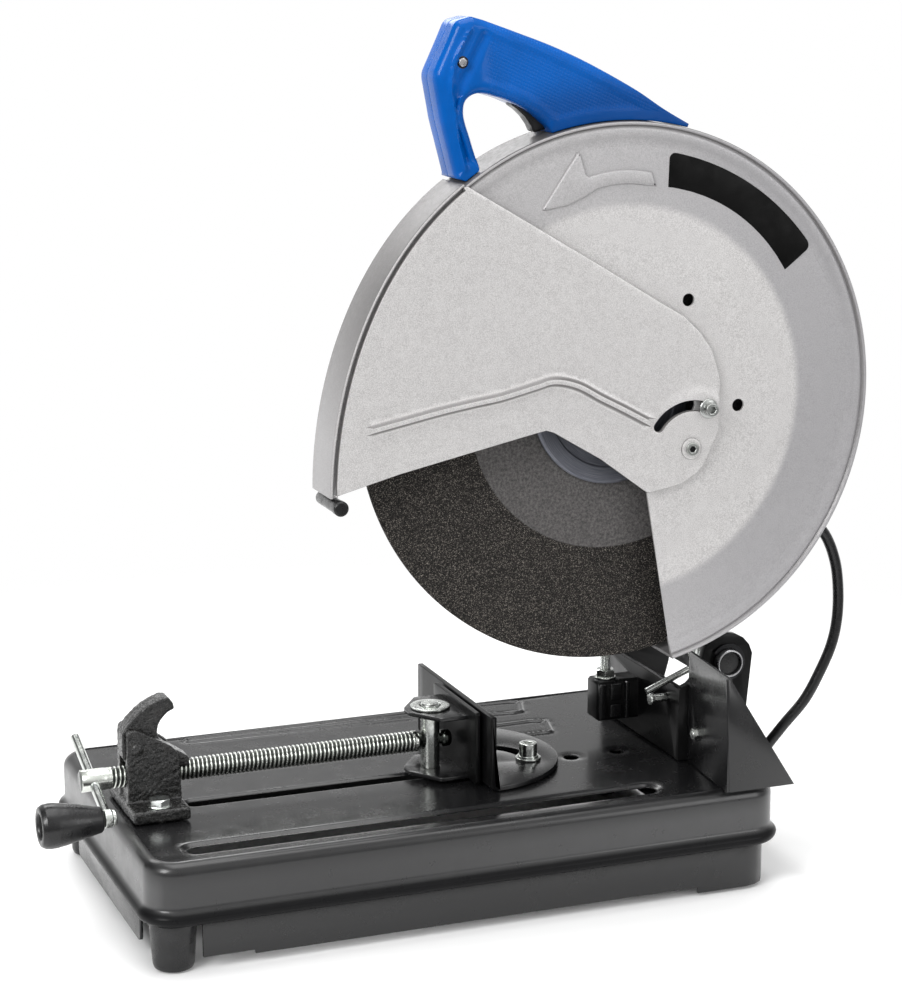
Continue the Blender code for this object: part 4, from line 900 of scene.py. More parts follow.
# ------------------------------------------------------------------ wheel, flange, spindle end
put(lathe("wheel_disc", "abrasive", tube(12.7, 177.5, WHEEL_Y + 1.6, WHEEL_Y - 1.6),
          WHEEL, "Y", 220, 0.35), "wheel", "abrasive_wheel")
FLANGE_Y = WHEEL_Y - 1.9      # back of the flange
put(lathe("flange_disc", "flange_steel",
          nearer(FLANGE_Y, [(8.4, 0), (57, 0), (57, 2.2), (55.2, 3.4), (46, 3.4), (45, 2.9),
                            (31.5, 2.9), (30, 3.4), (27.4, 4.4), (26, 6), (8.4, 6), (8.4, 0)]),
          WHEEL, "Y", 160, 0.3, 30), "wheel", "outer_flange")
put(merge("arbor_bolt",
          hex_bar("head", "zinc", 8.6, FLANGE_Y - 8.4, FLANGE_Y - 14.0, WHEEL, "Y", turn=0.25),
          lathe("washers", "zinc",
                nearer(FLANGE_Y, [(4.2, 8.6), (10.4, 8.6), (10.6, 8.4), (10.6, 8.0), (13.2, 8.0),
                                  (13.5, 7.7), (13.5, 6.4), (4.2, 6.4)]), WHEEL, "Y", 64, 0.2),
          lathe("shank", "zinc", rod(4.2, FLANGE_Y - 9, -104.8), WHEEL, "Y", 32)),
    "wheel", "wheel_bolt")

# ------------------------------------------------------------------ guard
GUARD_R = 183.7
FACE_R = 168.0                          # where the flat face meets the pressed ring
GUARD_SWEEP = (-77.2, 128.1, 180)       # first and last angle, points
GUARD_BACK = -86.0
# x, z down the front of the guard
FRONT = [(-7.8, 498.7), (-24.1, 487.6), (-37.5, 473.7), (-51, 453.6), (-64.4, 433.5), (-75.5, 410.5),
         (-84.7, 387), (-91, 366.7), (-95, 345), (-97.6, 322), (-98.1, 303)]


def fair(line, degree, step):
    """The same run as a fair curve: least squares through the points, its ends held."""
    line = np.asarray(line, float)
    run = np.concatenate([[0], np.cumsum(np.linalg.norm(np.diff(line, axis=0), axis=1))])
    weights = np.ones(len(run))
    weights[0] = weights[-1] = 25.0
    stations = np.arange(0, run[-1], step).tolist() + [run[-1]]
    out = np.column_stack([np.polyval(np.polyfit(run, line[:, i], degree, w=weights), stations)
                           for i in (0, 1)])
    out[0], out[-1] = line[0], line[-1]
    return out


front_line = fair(FRONT, 3, 2.0)
face_line = wheel_arc(FACE_R, *GUARD_SWEEP) + [
    (2, 482), (84, 433), (124, 409), (137, 396), (141.5, 378), (143, 363), (156.5, 357), (158, 346),
    (155, 338), (145, 334), (141, 322), (127.5, 300), (124, 289.5)]
face = sheet("face", "silver_paint",
             [face_line, circle(151.9, 416.9, 4.3, 32), circle(190.4, 344, 4.3, 32)],
             -120.1, -122.0, "Y", bevel=0, edge_step=400, sharp=50,
             height=lambda points: -1.7 * ramp(wheel_dist(points), 126.5, 132.5))
# outer ring of the pressing, rolled seam and rim in one skin: radius, y
RIM = [(FACE_R, -120.3), (171.5, -120.3), (173.5, -120.6), (175.2, -120.9), (178.0, -120.9),
       (179.3, -120.8), (180.1, -120.1), (180.5, -119.9), (180.9, -120.2), (181.4, -121.4),
       (182.2, -122.0), (183.0, -122.0), (183.55, -121.6), (GUARD_R, -120.8), (GUARD_R, -118.5),
       (GUARD_R, -90.0), (GUARD_R, -87.4), (183.45, -86.5), (182.8, -86.0), (181.9, -86.0),
       (181.7, -86.8), (181.7, -118.4), (178, -118.4), (FACE_R, -118.4)]
rings = [lay("Y", np.array(wheel_arc(radius, *GUARD_SWEEP)), y) for radius, y in RIM + RIM[:1]]
verts, faces = loft(rings, close=False, caps=False)
columns = GUARD_SWEEP[2]
faces += [tuple(i * columns for i in range(len(RIM))),
          tuple(i * columns + columns - 1 for i in range(len(RIM) - 1, -1, -1))]
rim = mesh_obj("rim", "silver_paint", verts, faces, 50)
back_line = (wheel_arc(GUARD_R - 1.5, -77.3, 127.5, 160)
             + [tuple(q) for q in offset(front_line, 2.6)[3:]]
             + [(-60, 309), (30, 318), (62, 300), (94, 284), (124, 286)])
wall = sheet("wall", "silver_paint", [back_line, circle(*WHEEL, 20, 60)], -88.0, GUARD_BACK, "Y",
             edge_step=4)
put(merge("guard_shell", face, rim, wall), "head", "upper_guard")

arrow = ([(45.7, 479), (72.5, 517.5), (77.6, 501.5)] + arc(105, 418, 86, 107, 77, 9)
         + [(127.4, 492.5)] + arc(105, 418, 76.5, 79, 105, 8) + [(78, 487.6), (65, 482)])
put(sheet("guard_arrow", "silver_paint", [fillet(arrow, [1.2, 1.2, 2] + [0] * (len(arrow) - 3), 3)],
          -119.6, -122.4, "Y", bevel=1.7, edge_step=1.2, steps=5), "head")


def label_outline():
    """The blank plate's outline: a rounded rectangle bent between four corners on the guard."""
    def polar(x, z):
        x, z = x - WHEEL_X, z - WHEEL_Z
        return math.hypot(x, z), math.degrees(math.atan2(z, x))

    outer0, outer_angle0 = polar(137, 514.2)
    outer1, outer_angle1 = polar(243, 448.4)
    inner1, inner_angle1 = polar(216.5, 427.6)
    inner0, inner_angle0 = polar(134.9, 478.7)
    width = math.radians(outer_angle0 - outer_angle1) * (outer0 + inner0) / 2
    tall = (outer0 + outer1 - inner0 - inner1) / 2
    out = []
    for u, v in densify(fillet([(0, tall), (width, tall), (width, 0), (0, 0)], 4.5, 8), 2.5):
        u, v = u / width, v / tall
        radius = (outer0 + (outer1 - outer0) * u) * v + (inner0 + (inner1 - inner0) * u) * (1 - v)
        angle = math.radians((outer_angle0 + (outer_angle1 - outer_angle0) * u) * v
                             + (inner_angle0 + (inner_angle1 - inner_angle0) * u) * (1 - v))
        out.append((WHEEL_X + radius * math.cos(angle), WHEEL_Z + radius * math.sin(angle)))
    return out


put(sheet("guard_label", "label", [label_outline()], -119.9, -120.75, "Y", bevel=0.2, edge_step=2),
    "head")

# band down the front of the guard, with the flange turned in behind the cover and
# narrowed at the lower end; the section is inward distance, y, corner radius
BAND = [(0.0, GUARD_BACK, 0.6), (0.0, -122.8, 0.9), (1.8, -122.8, 0.3), (1.8, -120.4, 0.2),
        (13.0, -120.4, 0.4), (13.0, -118.8, 0.3), (2.6, -118.8, 0.8), (2.6, GUARD_BACK, 0.6)]
section = np.array(fillet([row[:2] for row in BAND], [row[2] for row in BAND], 4))
rings = []
for i, (point, normal) in enumerate(zip(front_line, line_normals(front_line))):
    narrowing = 0.8 * ramp(i - (len(front_line) - 8.0), 0.0, 6.0)
    inward = section[:, 0] - np.maximum(section[:, 0] - 2.7, 0) * narrowing
    rings.append(lay("Y", point + normal * inward[:, None], section[:, 1]))
put(mesh_obj("guard_front_band", "silver_paint", *loft(rings), 40), "head", "front_guard")

# swinging cover: pressed plate with a raised bead; x, z, corner radius
COVER = [(-7.8, 498.7, 3), (86.6, 443.3, 0), (130.1, 417, 12), (147.8, 406.8, 10),
         (159.8, 395.4, 12), (169, 382.9, 12), (175.4, 362.3, 14), (174.8, 328.5, 14),
         (162, 302.1, 12), (147.3, 293.7, 9), (123.1, 289.5, 6), (104.6, 303.2, 6),
         (88.4, 315.2, 6), (54.5, 335.4, 5), (49.6, 337, 3), (43.2, 335.9, 4), (17.3, 330.5, 8),
         (-51.6, 316, 0), (-98.1, 304, 2)]
cover_line = (fillet([row[:2] for row in COVER], [row[2] for row in COVER], 5)[1:-3]
              + [tuple(q) for q in offset(front_line, 3.5)[::-1][1:-1]])
bead_line = smooth_line([(-70.4, 346), (-47, 350.6), (-24.2, 355), (-3, 358.4), (17.1, 361.3),
                         (41.6, 366.9), (53.5, 369.4), (69.9, 365.8), (87.9, 356), (104, 347.6),
                         (120.7, 338.4)], 1.2)
bead_offsets = (-4.2, -3.2, -2.3, -1.4, -0.5, 0.5, 1.4, 2.3, 3.2, 4.2)
COVER_Y = -125.2
COVER_PIVOT, COVER_BOLT = (154.2, 317.7), (166.2, 344.0)
bolt_x, bolt_z = COVER_BOLT[0] - COVER_PIVOT[0], COVER_BOLT[1] - COVER_PIVOT[1]
bolt_angle = math.degrees(math.atan2(bolt_z, bolt_x))


def cover_relief(points):
    bead = 3.0 * hump(np.maximum(line_dist(points, bead_line) - 0.9, 0), 3.3)
    return bead + 0.8 * ramp(np.hypot(points[:, 0] - 158, points[:, 1] - 330), 30, 24)


put(sheet("swing_cover", "silver_paint",
          [cover_line, circle(*COVER_PIVOT, 3.6, 28),
           arc_slot(*COVER_PIVOT, math.hypot(bolt_x, bolt_z), 6.4, bolt_angle, bolt_angle + 81)],
          COVER_Y + 2, COVER_Y, "Y", bevel=0.55, bevel_back=0.3, edge_step=2.2, grid_step=3.2,
          height=cover_relief, extra=np.vstack([offset(bead_line, d) for d in bead_offsets]),
          skip=lambda grid: line_dist(grid, bead_line) < 4.8), "guard_cover", "guard_cover")
put(merge("cover_socket_bolt",
          sheet("head", "zinc_dull", [circle(*COVER_BOLT, 4.6, 48), hexagon(*COVER_BOLT, 2.6)],
                COVER_Y - 2.0, COVER_Y - 7.5, "Y", bevel=0.6, edge_step=0.8),
          lathe("washer", "zinc_dull",
                nearer(COVER_Y, [(0, 4.8), (6.2, 2.0), (6.6, 1.6), (6.6, 0.4), (0, 0.4)]),
                COVER_BOLT, "Y", 48, 0.2),
          lathe("shank", "zinc", rod(2.5, -116, COVER_Y), COVER_BOLT, "Y", 24)),
    "head", "cover_lock_bolt")
put(merge("cover_pivot_screw",
          lathe("washer", "silver_paint",
                nearer(COVER_Y, [(0, 1.9), (6.4, 1.9), (7.3, 1.4), (7.4, 0.5), (0, 0.5)]),
                COVER_PIVOT, "Y", 48, 0.25),
          sheet("head", "zinc_dull", [circle(*COVER_PIVOT, 4.5, 48), hexagon(*COVER_PIVOT, 2.34)],
                COVER_Y - 1.5, COVER_Y - 3.7, "Y", bevel=0.6, edge_step=0.8),
          # painted shade: the socket's floor is dark steel
          lathe("socket_floor", "dark_steel", rod(2.6, COVER_Y - 2.1, COVER_Y - 1.5),
                COVER_PIVOT, "Y", 24),
          lathe("shank", "zinc", rod(3.0, -116, COVER_Y), COVER_PIVOT, "Y", 24)),
    "head", "cover_pivot_bolt")
put(lathe("guard_bumper", "black_rubber",
          [(0, -127), (4.0, -127), (5.0, -126), (5.0, -121), (4.6, -120.4), (4.6, -88), (0, -88)],
          (-92.0, 296.8), "Y", 40, 0.5), "head", "bumper")

# ------------------------------------------------------------------ handle
SEAT_R = 184.2      # where the handle sits on the guard
grip_top = smooth_line([(152, 531.5), (134, 541.5), (115, 554), (86.8, 569.5), (59, 582),
                        (31.6, 592), (10, 599.5)], 2.0)
grip_nose = fillet([(10, 599.5), (1.0, 602.0), (-9.3, 599.4), (-16.6, 583.4), (-24.9, 566),
                    (-19.6, 537.6), (-10.0, 501.6)], [0, 7, 7, 8, 12, 30, 0], 6, closed=False)[1:]
grip_opening = smooth_line([(5.0, 512.5), (0.8, 525.7), (-3.8, 541.5), (-2.4, 549.6), (5.0, 554.0),
                            (18.3, 551.6), (30, 547.4), (42, 541), (53.0, 532.2)], 1.8)
grip_line = densify([tuple(q) for q in grip_top] + grip_nose + wheel_arc(SEAT_R, 126.2, 122.8, 5)
                    + [tuple(q) for q in grip_opening] + wheel_arc(SEAT_R, 105.6, 75.5, 40), 2.0)
# a ridge and a groove down the front of the upright
ridge_line = smooth_line([(-2, 594), (-12, 574), (-14, 556), (-11, 541), (-8, 520), (-5, 508)], 2)
groove_line = smooth_line([(9, 590), (0, 573), (-8, 558), (-8.5, 548), (-7, 530), (-2.5, 514)], 2)


def grip_round(points):
    """How far the edge is rounded: little where it sits on the guard and at the thin tail."""
    clear = ramp(wheel_dist(points), 185.0, 192.0)
    return np.maximum(0.1, clear * (1 - 0.9 * ramp(points[:, 0], 88, 140)))


def grip_relief(points):
    panel = ramp(points[:, 0], 6, 15) * ramp(wheel_dist(points), 189.5, 193)
    return (2.0 * hump(line_dist(points, ridge_line), 2.6)
            - 2.2 * hump(line_dist(points, groove_line), 5.0)
            - 1.0 * panel * ramp(loop_dist(points, grip_line), 7.0, 9.5))


for half_name, inner_y, outer_y in (("near", -102.15, -117.5), ("far", -101.85, -86.5)):
    grid = [(x, z) for x in np.arange(-24, 158, 1.4) for z in np.arange(500, 602, 1.4)]
    put(sheet("grip_" + half_name, "blue_plastic", [grip_line], inner_y, outer_y, "Y", bevel=6.5,
              bevel_back=0.35, extra=grid, height=grip_relief, steps=8, edge_step=2.0, sharp=60,
              bevel_at=grip_round), "head", "handle_" + half_name)
GRIP_SCREW = (-6.5, 574)
put(merge("grip_screw",
          lathe("head", "dark_steel",
                [(0, -117.9), (3.4, -117.8), (4.1, -117.3), (4.2, -116.0), (0, -116.0)],
                GRIP_SCREW, "Y", 40, 0.3),
          hex_bar("drive", "steel", 2.9, -117.0, -119.2, GRIP_SCREW, "Y", turn=0.3)),
    "head", "handle_screw")
TRIGGER = [(60, 559), (70, 559), (71, 548), (64, 536), (57.5, 530.6), (51.5, 529.2), (46.8, 528.0),
           (44.6, 533.0), (40.5, 538.5), (35.5, 543.0), (30.5, 546.3), (33, 550.5), (50, 553)]
put(sheet("grip_trigger", "black_plastic", [fillet(TRIGGER, 2, 5)], -96, -108, "Y", bevel=1.6,
          bevel_back=1.6, edge_step=1.2, steps=5), "trigger", "trigger")

# ------------------------------------------------------------------ base
PAN_X0, PAN_X1, PAN_HALF_Y, PAN_CORNER = -223.5, 227.5, 131.5, 22.0
TOP_ROUND = 8.0


def wall_ring(inward, z):
    """Rounded rectangle inset from the pan's outer wall."""
    r = max(PAN_CORNER - inward, 1.5)
    x0, x1 = PAN_X0 + inward + r, PAN_X1 - inward - r
    y = PAN_HALF_Y - inward - r
    corners = ((x1, -y, -90), (x1, y, 0), (x0, y, 90), (x0, -y, 180))
    points = [p for cx, cy, a in corners for p in arc(cx, cy, r, a, a + 90, 14)]
    return lay("Z", np.array(points), z)


# raised lands on the far side of the bed
LANDS = (fillet([(-132, 119), (44, 123.0), (126, 119), (134, 116), (126, 93), (118, 92), (40, 108),
                 (-132, 112)], [3, 0, 0, 4, 4, 0, 0, 3], 5),
         fillet([(-120, 64), (44, 67), (122, 68.5), (134, 66), (127, 39), (118, 39.5),
                 (-120, 38)], [4, 0, 0, 4, 4, 0, 4], 5))
# x0, x1, y, width
WHEEL_SLOT = (-191.6, 144.0, WHEEL_Y, 13.0)
SCREW_SLOT = (-168.0, 6.0, SCREW_Y, 11.0)
DIMPLED_HOLES = ((117.0, -19.0), (153.7, -18.5))
PLAIN_HOLES = (FENCE_LOCK, FENCE_PIVOT, *((VISE_BOLT_X, y) for y in VISE_BOLT_Y))


def slot_dist(points, slot):
    """Distance outside a slot's edge."""
    x0, x1, y, width = slot
    half = width / 2
    beyond = np.maximum(np.maximum(x0 + half - points[:, 0], points[:, 0] - (x1 - half)), 0)
    return np.hypot(beyond, points[:, 1] - y) - half


def bed_relief(points):
    x, y = points[:, 0], points[:, 1]
    h = -2.2 * ramp(slot_dist(points, WHEEL_SLOT), 5.5, 0.2)
    h = h - 1.6 * ramp(slot_dist(points, SCREW_SLOT), 3.5, 0.2)
    for land in LANDS:
        d = loop_dist(points, land)
        h = h + 1.0 * hump(d, 2.2) - 0.4 * hump(np.abs(d - 2.9), 0.9)
    # the plain middle of the sheet dips a little between the stiffened edges
    h = h - 0.5 * np.clip(1 - (y / 118.0) ** 2, 0, 1) * np.clip(1 - (x / 212.0) ** 2, 0, 1)
    # the drawn step along the near edge
    h = h - 0.5 * ramp(y, -117.5, -113.5) * ramp(x, -222, -200) * ramp(-x, -222, -205)
    for hole_x, hole_y in DIMPLED_HOLES:
        h = h - 0.7 * ramp(np.hypot(x - hole_x, y - hole_y), 8.5, 6.0)
    return h


def fine_points():
    """Closer points along the edges of the lands and round the slots."""
    out = []
    for land in LANDS:
        edge = densify(land, 1.6)
        for d in (-2.6, -1.8, -1.0, -0.3, 0.3, 1.0, 1.8, 2.6):
            out += inset(edge, d).tolist()
    for d in (0.7, 1.4, 2.2, 3.0, 4.0, 5.0):
        for x0, x1, y, width in (WHEEL_SLOT, SCREW_SLOT):
            out += densify(stadium(x0 - d, x1 + d, y, width + 2 * d), 3.0).tolist()
    return out


def near_fine(grid):
    x, y = grid.T
    by_wheel = (np.abs(y - WHEEL_Y) < 12.5) & (x > -198) & (x < 151)
    by_screw = (np.abs(y - SCREW_Y) < 11.2) & (x > -174) & (x < 12)
    by_land = np.minimum(*(loop_dist(grid, land) for land in LANDS)) < 3.2
    return by_land | by_wheel | by_screw


bed_outlines = [wall_ring(TOP_ROUND, 0.0)[:, :2], stadium(*WHEEL_SLOT), stadium(*SCREW_SLOT)]
bed_outlines += [circle(*hole, 5.6, 28) for hole in DIMPLED_HOLES]
bed_outlines += [circle(*hole, 4.6, 28) for hole in PLAIN_HOLES]
bed = sheet("top", "black_enamel", bed_outlines, BED - 2.5, BED, bevel=0, edge_step=400, sharp=55,
            grid_step=4.0, height=bed_relief, extra=fine_points(), skip=near_fine)
# the wall's stations, inset and z: rounded top, straight side, lip turned out, then under
stations = [(TOP_ROUND * (1 - math.cos(a)), BED - TOP_ROUND + TOP_ROUND * math.sin(a))
            for a in np.radians(np.linspace(90, 0, 9))]
stations += [(0.0, z) for z in (62, 56, 50, 46.5)]
stations += [(-4.5 * t * t * (3 - 2 * t), 45.5 - 6.5 * t) for t in np.linspace(0, 1, 10)[1:]]
stations += [(-4.5 + 5.6 * (1 - math.cos(a)), 39.0 - 5.7 * math.sin(a))
             for a in np.radians(np.linspace(0, 90, 9)[1:])]
stations += [(2.0, 33.25), (4.5, 33.2), (4.5, 38.0), (2.6, 46.0), (2.6, 66.0), (8.0, 72.5)]
walls = mesh_obj("walls", "wall_enamel", *loft([wall_ring(*s) for s in stations], caps=False), 55)
gussets = []
for sx, end_x in ((-1, PAN_X0), (1, PAN_X1)):
    for sy in (-1, 1):
        x, y = end_x - sx * 3.5, sy * (PAN_HALF_Y - 3.5)
        corner = fillet([(x, y), (x - sx * 50, y), (x, y - sy * 50)], [14, 2, 2], 5)
        gussets.append(sheet("gusset", "black_enamel", [corner], 34.2, 37.4, bevel_back=0.5))
put(merge("bed_pan", bed, walls, *gussets), "base", "base_pan")

FOOT = [(0, 33.9), (6.5, 33.9), (6.5, 32.7), (15.6, 32.7), (15.5, 28.0), (13.7, 3.6), (12.9, 1.2),
        (10.8, 0.0), (0, 0.0)]
for end, x, y in (("front", -205.0, 113.0), ("rear", 196.0, 100.0)):
    for side, sy in (("near", -1), ("far", 1)):
        foot = f"foot_{end}_{side}"
        put(lathe(foot + "_rubber", "black_rubber", FOOT, (x, sy * y), "Z", 72, 0.6, 30),
            "base", foot)

# ------------------------------------------------------------------ fence
FENCE_X, FENCE_Z = 33.5, 75.3
FACE_X, FENCE_TOP, FOOT_X, FENCE_THICK = FENCE_X + 4, 128.0, 40.6, 3.0
bend = fillet([(FENCE_X, FENCE_TOP), (FENCE_X, FENCE_Z), (FOOT_X, FENCE_Z),
               (FOOT_X, FENCE_Z + FENCE_THICK), (FACE_X, FENCE_Z + FENCE_THICK),
               (FACE_X, FENCE_TOP)], [0.7, 5.0, 0.3, 0.3, 1.6, 0.7], 6)
# y and how far the section is drawn in there
rings = [lay("Y", inset(bend, cut), y)
         for y, cut in ((-72.0, 0.8), (-71.7, 0.3), (-71.2, 0.0), (-60, 0), (60, 0), (71.2, 0.0),
                        (71.7, 0.3), (72.0, 0.8))]
# the upright takes the painted-shade copy of the enamel
upright = mesh_obj("upright", "shaded_enamel", *loft(rings), 32)
half_disc = ([(FENCE_X + 5.0, -71.3)] + arc(36.5, 0, 72, -88, 88, 60) + [(FENCE_X + 5.0, 71.3)])
disc = sheet("disc", "black_enamel",
             [fillet(half_disc, [4] + [0] * (len(half_disc) - 2) + [4], 6),
              arc_slot(*FENCE_PIVOT, 33.6, 9.4, -12.0, 52.0), circle(*FENCE_PIVOT, 4.8, 32)],
             FENCE_Z, FENCE_Z + 3.02, bevel=0.7, edge_step=3)
put(merge("fence", upright, disc), "base", "fence_plate")


def socket_bolt(name, centre, cad):
    """Cap screw with a hexagon socket over two washers."""
    def turned(part, profile, *rest):
        return lathe(part, "zinc", profile, centre, "Z", *rest)

    head = sheet("head", "zinc", [circle(*centre, 6.4, 64), hexagon(*centre, 3.0, 15)], BED + 5.3,
                 BED + 15.4, bevel=0.7, edge_step=0.7)
    put(merge(name, head, turned("socket_floor", rod(3.6, BED + 10.5, BED + 5.0), 24),
              turned("washer", tube(4.0, 9.0, BED + 3.5, BED + 5.0), 64, 0.3),
              turned("small_washer", tube(4.2, 7.4, BED + 5.0, BED + 6.4), 48, 0.25),
              turned("shank", shank(BED - 12, BED + 5), 32)), "base", cad)


socket_bolt("fence_cap_screw", FENCE_LOCK, "fence_lock_bolt")
socket_bolt("fence_pivot_screw", FENCE_PIVOT, "fence_pivot_bolt")

# ------------------------------------------------------------------ vise
put(casting("vise_casting", nodes["vise_bracket"].data.copy(), voxel=0.8, smooth=2, rough=0.35,
            seed=3.0), "base", "vise_bracket")
# x, z round the lever: its outer curve, then the hooked inner one
claw_line = ([(-206, 103.5), (-212.6, 114), (-213, 118)]
             + [tuple(q) for q in smooth_line([(-213, 130.0), (-208.5, 137.0), (-201, 144.4),
                                               (-193, 149.6), (-184, 153.0)])]
             + [(-180.5, 153.0), (-177.2, 148.6), (-176.6, 144.8)]
             + [tuple(q) for q in smooth_line([(-181.5, 142.6), (-186.2, 137.5), (-188.6, 131.0),
                                               (-187.6, 125.0), (-182.0, 119.8)])]
             + [(-168, 110.5), (-166.8, 108.5), (-167.4, 103.5)])
claw = sheet("claw", "cast_black", [claw_line], SCREW_Y - 7.6, SCREW_Y + 7.6, "Y", bevel=0.8,
             bevel_back=0.8, edge_step=2)
claw_mesh = claw.data
bpy.data.objects.remove(claw)
put(casting("half_nut_casting", claw_mesh, voxel=0.7, smooth=3, rough=0.3, seed=9.0),
    "half_nut", "half_nut_lever")
for side, y in zip(("near", "far"), VISE_BOLT_Y):
    centre = (VISE_BOLT_X, y)
    put(merge(f"vise_bolt_{side}_hex",
              hex_bar("head", "zinc", 7.4, BED + 9.6, BED + 14.6, centre, turn=0.4),
              lathe("collar", "zinc", rod(8.2, BED + 9.15, BED + 9.75), centre, "Z", 48, 0.15),
              lathe("shank", "zinc", shank(BED - 11, BED + 9.4), centre, "Z", 32)),
        "base", "vise_bolt_" + side)


# lead screw: rolled thread between plain ends
def lead_screw():
    pitch, crest, depth, count = 3.0, 7.6, 1.15, 48
    start, end = -221.5, -2.5
    stations = [(-240.8, 0.01), (-240.8, 6.7), (-240.1, 7.6), (-224.5, 7.6), (-223.0, 7.2)]
    for x in np.arange(start, end, 0.25):
        phase = (x / pitch + ring_angles(count) / (2 * np.pi)) % 1.0
        rise = np.clip(np.abs(phase * 2 - 1) * 1.5 - 0.25, 0, 1)
        wave = 0.5 + 0.5 * np.sin((rise - 0.5) * math.pi)
        fade = min(1.0, (x - start) / 3.0, (end - x) / 2.0 + 0.1)
        stations.append((x, crest - depth * (1 - wave) * fade - 0.12))
    stations += [(-2.2, 7.3), (-0.6, 7.4), (0.3, 6.4), (2.2, 6.2), (2.3, 3.9), (17.7, 3.9),
                 (17.75, 6.0), (23.0, 6.0), (24.2, 5.0), (24.2, 0.01)]
    rings = [ring("X", SCREW, radius, x, count) for x, radius in stations]
    return mesh_obj("lead_screw", "zinc_thread", *loft(rings, caps=False), 180, weld=0)


put(lead_screw(), "vise_screw", "vise_screw")

# crank bar and knob
BAR_X = -232.5
bar_end = np.array([BAR_X, 31.5, 114.5])
bar_start = np.array([BAR_X, -53.0, 87.0])
bar_run = bar_end - bar_start
bar_way = bar_run / np.linalg.norm(bar_run)
knob = (bar_start - bar_way * 4.5)[1:]
put(merge("crank_handle",
          sweep("bar", "zinc", [bar_start + bar_run * t for t in np.linspace(0.0, 1, 12)], 3.2, 32),
          sweep("tip", "zinc", [bar_end - bar_way * 0.1, bar_end + bar_way * 0.02], [3.2, 2.7], 32),
          lathe("eye", "zinc", [(0, BAR_X - 2.8), (5.6, BAR_X - 2.8), (6.2, BAR_X - 2.0),
                                (6.2, BAR_X + 2.0), (5.6, BAR_X + 2.8), (0, BAR_X + 2.8)],
                knob, "X", 48, 0.4),
          lathe("spindle", "zinc",
                [(0, BAR_X + 5.6), (4.6, BAR_X + 5.6), (5.5, BAR_X + 4.8), (5.5, BAR_X + 3.0),
                 (3.0, BAR_X + 3.0), (3.0, -270.4), (5.4, -270.4), (5.8, -271.0), (5.8, -274.2),
                 (5.0, -275.2), (2.4, -275.2), (2.2, -273.4), (0, -273.4)], knob, "X", 48, 0.2)),
    "vise_screw", "crank_bar")
put(lathe("crank_knob_grip", "black_plastic",
          [(3.4, -236.2), (7.6, -236.2), (8.7, -237.4), (9.4, -241), (11.4, -250), (13.6, -260),
           (14.8, -267), (15.0, -271), (14.6, -274.8), (13.0, -277.6), (11.4, -278), (8.9, -277.6),
           (8.2, -276.0), (8.0, -270), (3.4, -270), (3.4, -236.2)], knob, "X", 96, 0.9, 40),
    "crank_knob", "crank_knob")

# jaw: a face plate with two lugs on a pin
JAW_X = 31.5
JAW_PIN = (9.7, SCREW_Y)
lug = fillet([(JAW_X - 0.5, SCREW_Y - 27), (8, SCREW_Y - 28), (-8, SCREW_Y - 6), (-8, SCREW_Y + 6),
              (8, SCREW_Y + 28), (JAW_X - 0.5, SCREW_Y + 27)], [0, 4, 7, 7, 4, 0], 6)
jaw_face = [(SCREW_Y - 41, BED + 1.2), (SCREW_Y + 41, BED + 1.2), (SCREW_Y + 41, 127.5),
            (SCREW_Y - 41, 127.5)]
put(merge("jaw_clevis",
          # the face takes the painted-shade copy of the enamel
          sheet("face", "shaded_enamel", [fillet(jaw_face, 2.0, 4)], JAW_X - 3.5, JAW_X, "X",
                bevel=0.6, bevel_back=0.6),
          *(sheet("lug", "black_enamel", [lug, circle(*JAW_PIN, 7.0)], z, z + 3.0, bevel=0.6,
                  bevel_back=0.6) for z in (BED + 1.3, 119.5))), "vise_jaw", "vise_jaw")
put(merge("jaw_pivot_pin",
          lathe("pin", "zinc", [(0, BED + 1.6), (6.2, BED + 1.6), (6.7, BED + 2.3), (6.7, 124.9),
                                (5.6, 126.2), (0, 126.25)], JAW_PIN, "Z", 64, 0.25),
          lathe("washer", "zinc", tube(7.6, 13.9, 122.8, 124.4), JAW_PIN, "Z", 72, 0.35)),
    "vise_jaw", "jaw_pin")

# ------------------------------------------------------------------ pivot
SHAFT_R = 10.0
put(lathe("pivot_shaft_turned", "steel",
          [(0, 77.5), (12.4, 77.5), (13.5, 76.4), (13.5, 73.5), (SHAFT_R, 73.5), (SHAFT_R, -64.9),
           (9.6, -65.5), (8.9, -65.5), (8.5, -65.0), (8.3, -60.6), (0, -60.2)],
          SHAFT, "Y", 72, 0.25), "base", "pivot_shaft")
put(lathe("pivot_shaft_recess", "black_plastic",
          [(0, -63.2), (7.6, -63.0), (8.35, -62.6), (8.3, -61), (0, -61)], SHAFT, "Y", 64, 0.3),
    "base", slot="steel")
# a radius of 0 leaves the corners and only brings the points to single precision
clip = fillet(arc(*SHAFT, 13.5, 215, 505, 60) + arc(*SHAFT, SHAFT_R + 0.3, 505, 215, 60), 0.0)
put(sheet("shaft_circlip", "dark_steel", [clip], -59.7, -61.2, "Y", bevel=0.25, bevel_back=0.25,
          edge_step=1.5), "base", "circlip")

COIL_R, COIL_PITCH, COIL_COUNT = 13.6, 5.6, 40      # COIL_COUNT points to a turn
shaft_x, shaft_z = SHAFT
coil = []
for k in range(int((1250 - 60) / 360 * COIL_COUNT) + 1):
    angle = math.radians(60) + 2 * math.pi * k / COIL_COUNT
    coil.append((shaft_x + COIL_R * math.cos(angle), -28 - COIL_PITCH * k / COIL_COUNT,
                 shaft_z + COIL_R * math.sin(angle)))
leg = smooth_line([coil[-1], (shaft_x - 14.6, -46.7, shaft_z - 1.0),
                   (shaft_x - 18.5, -46.9, shaft_z - 4.6), (194.7, -46.9, 138.4)], 1.0)[1:].tolist()
leg += [(190.0, -46.9, 136.6), (176, -46.9, 131), (162.6, -46.9, 125.7)]
put(sweep("return_spring", "zinc", coil + leg, 2.45), "base", "torsion_spring")

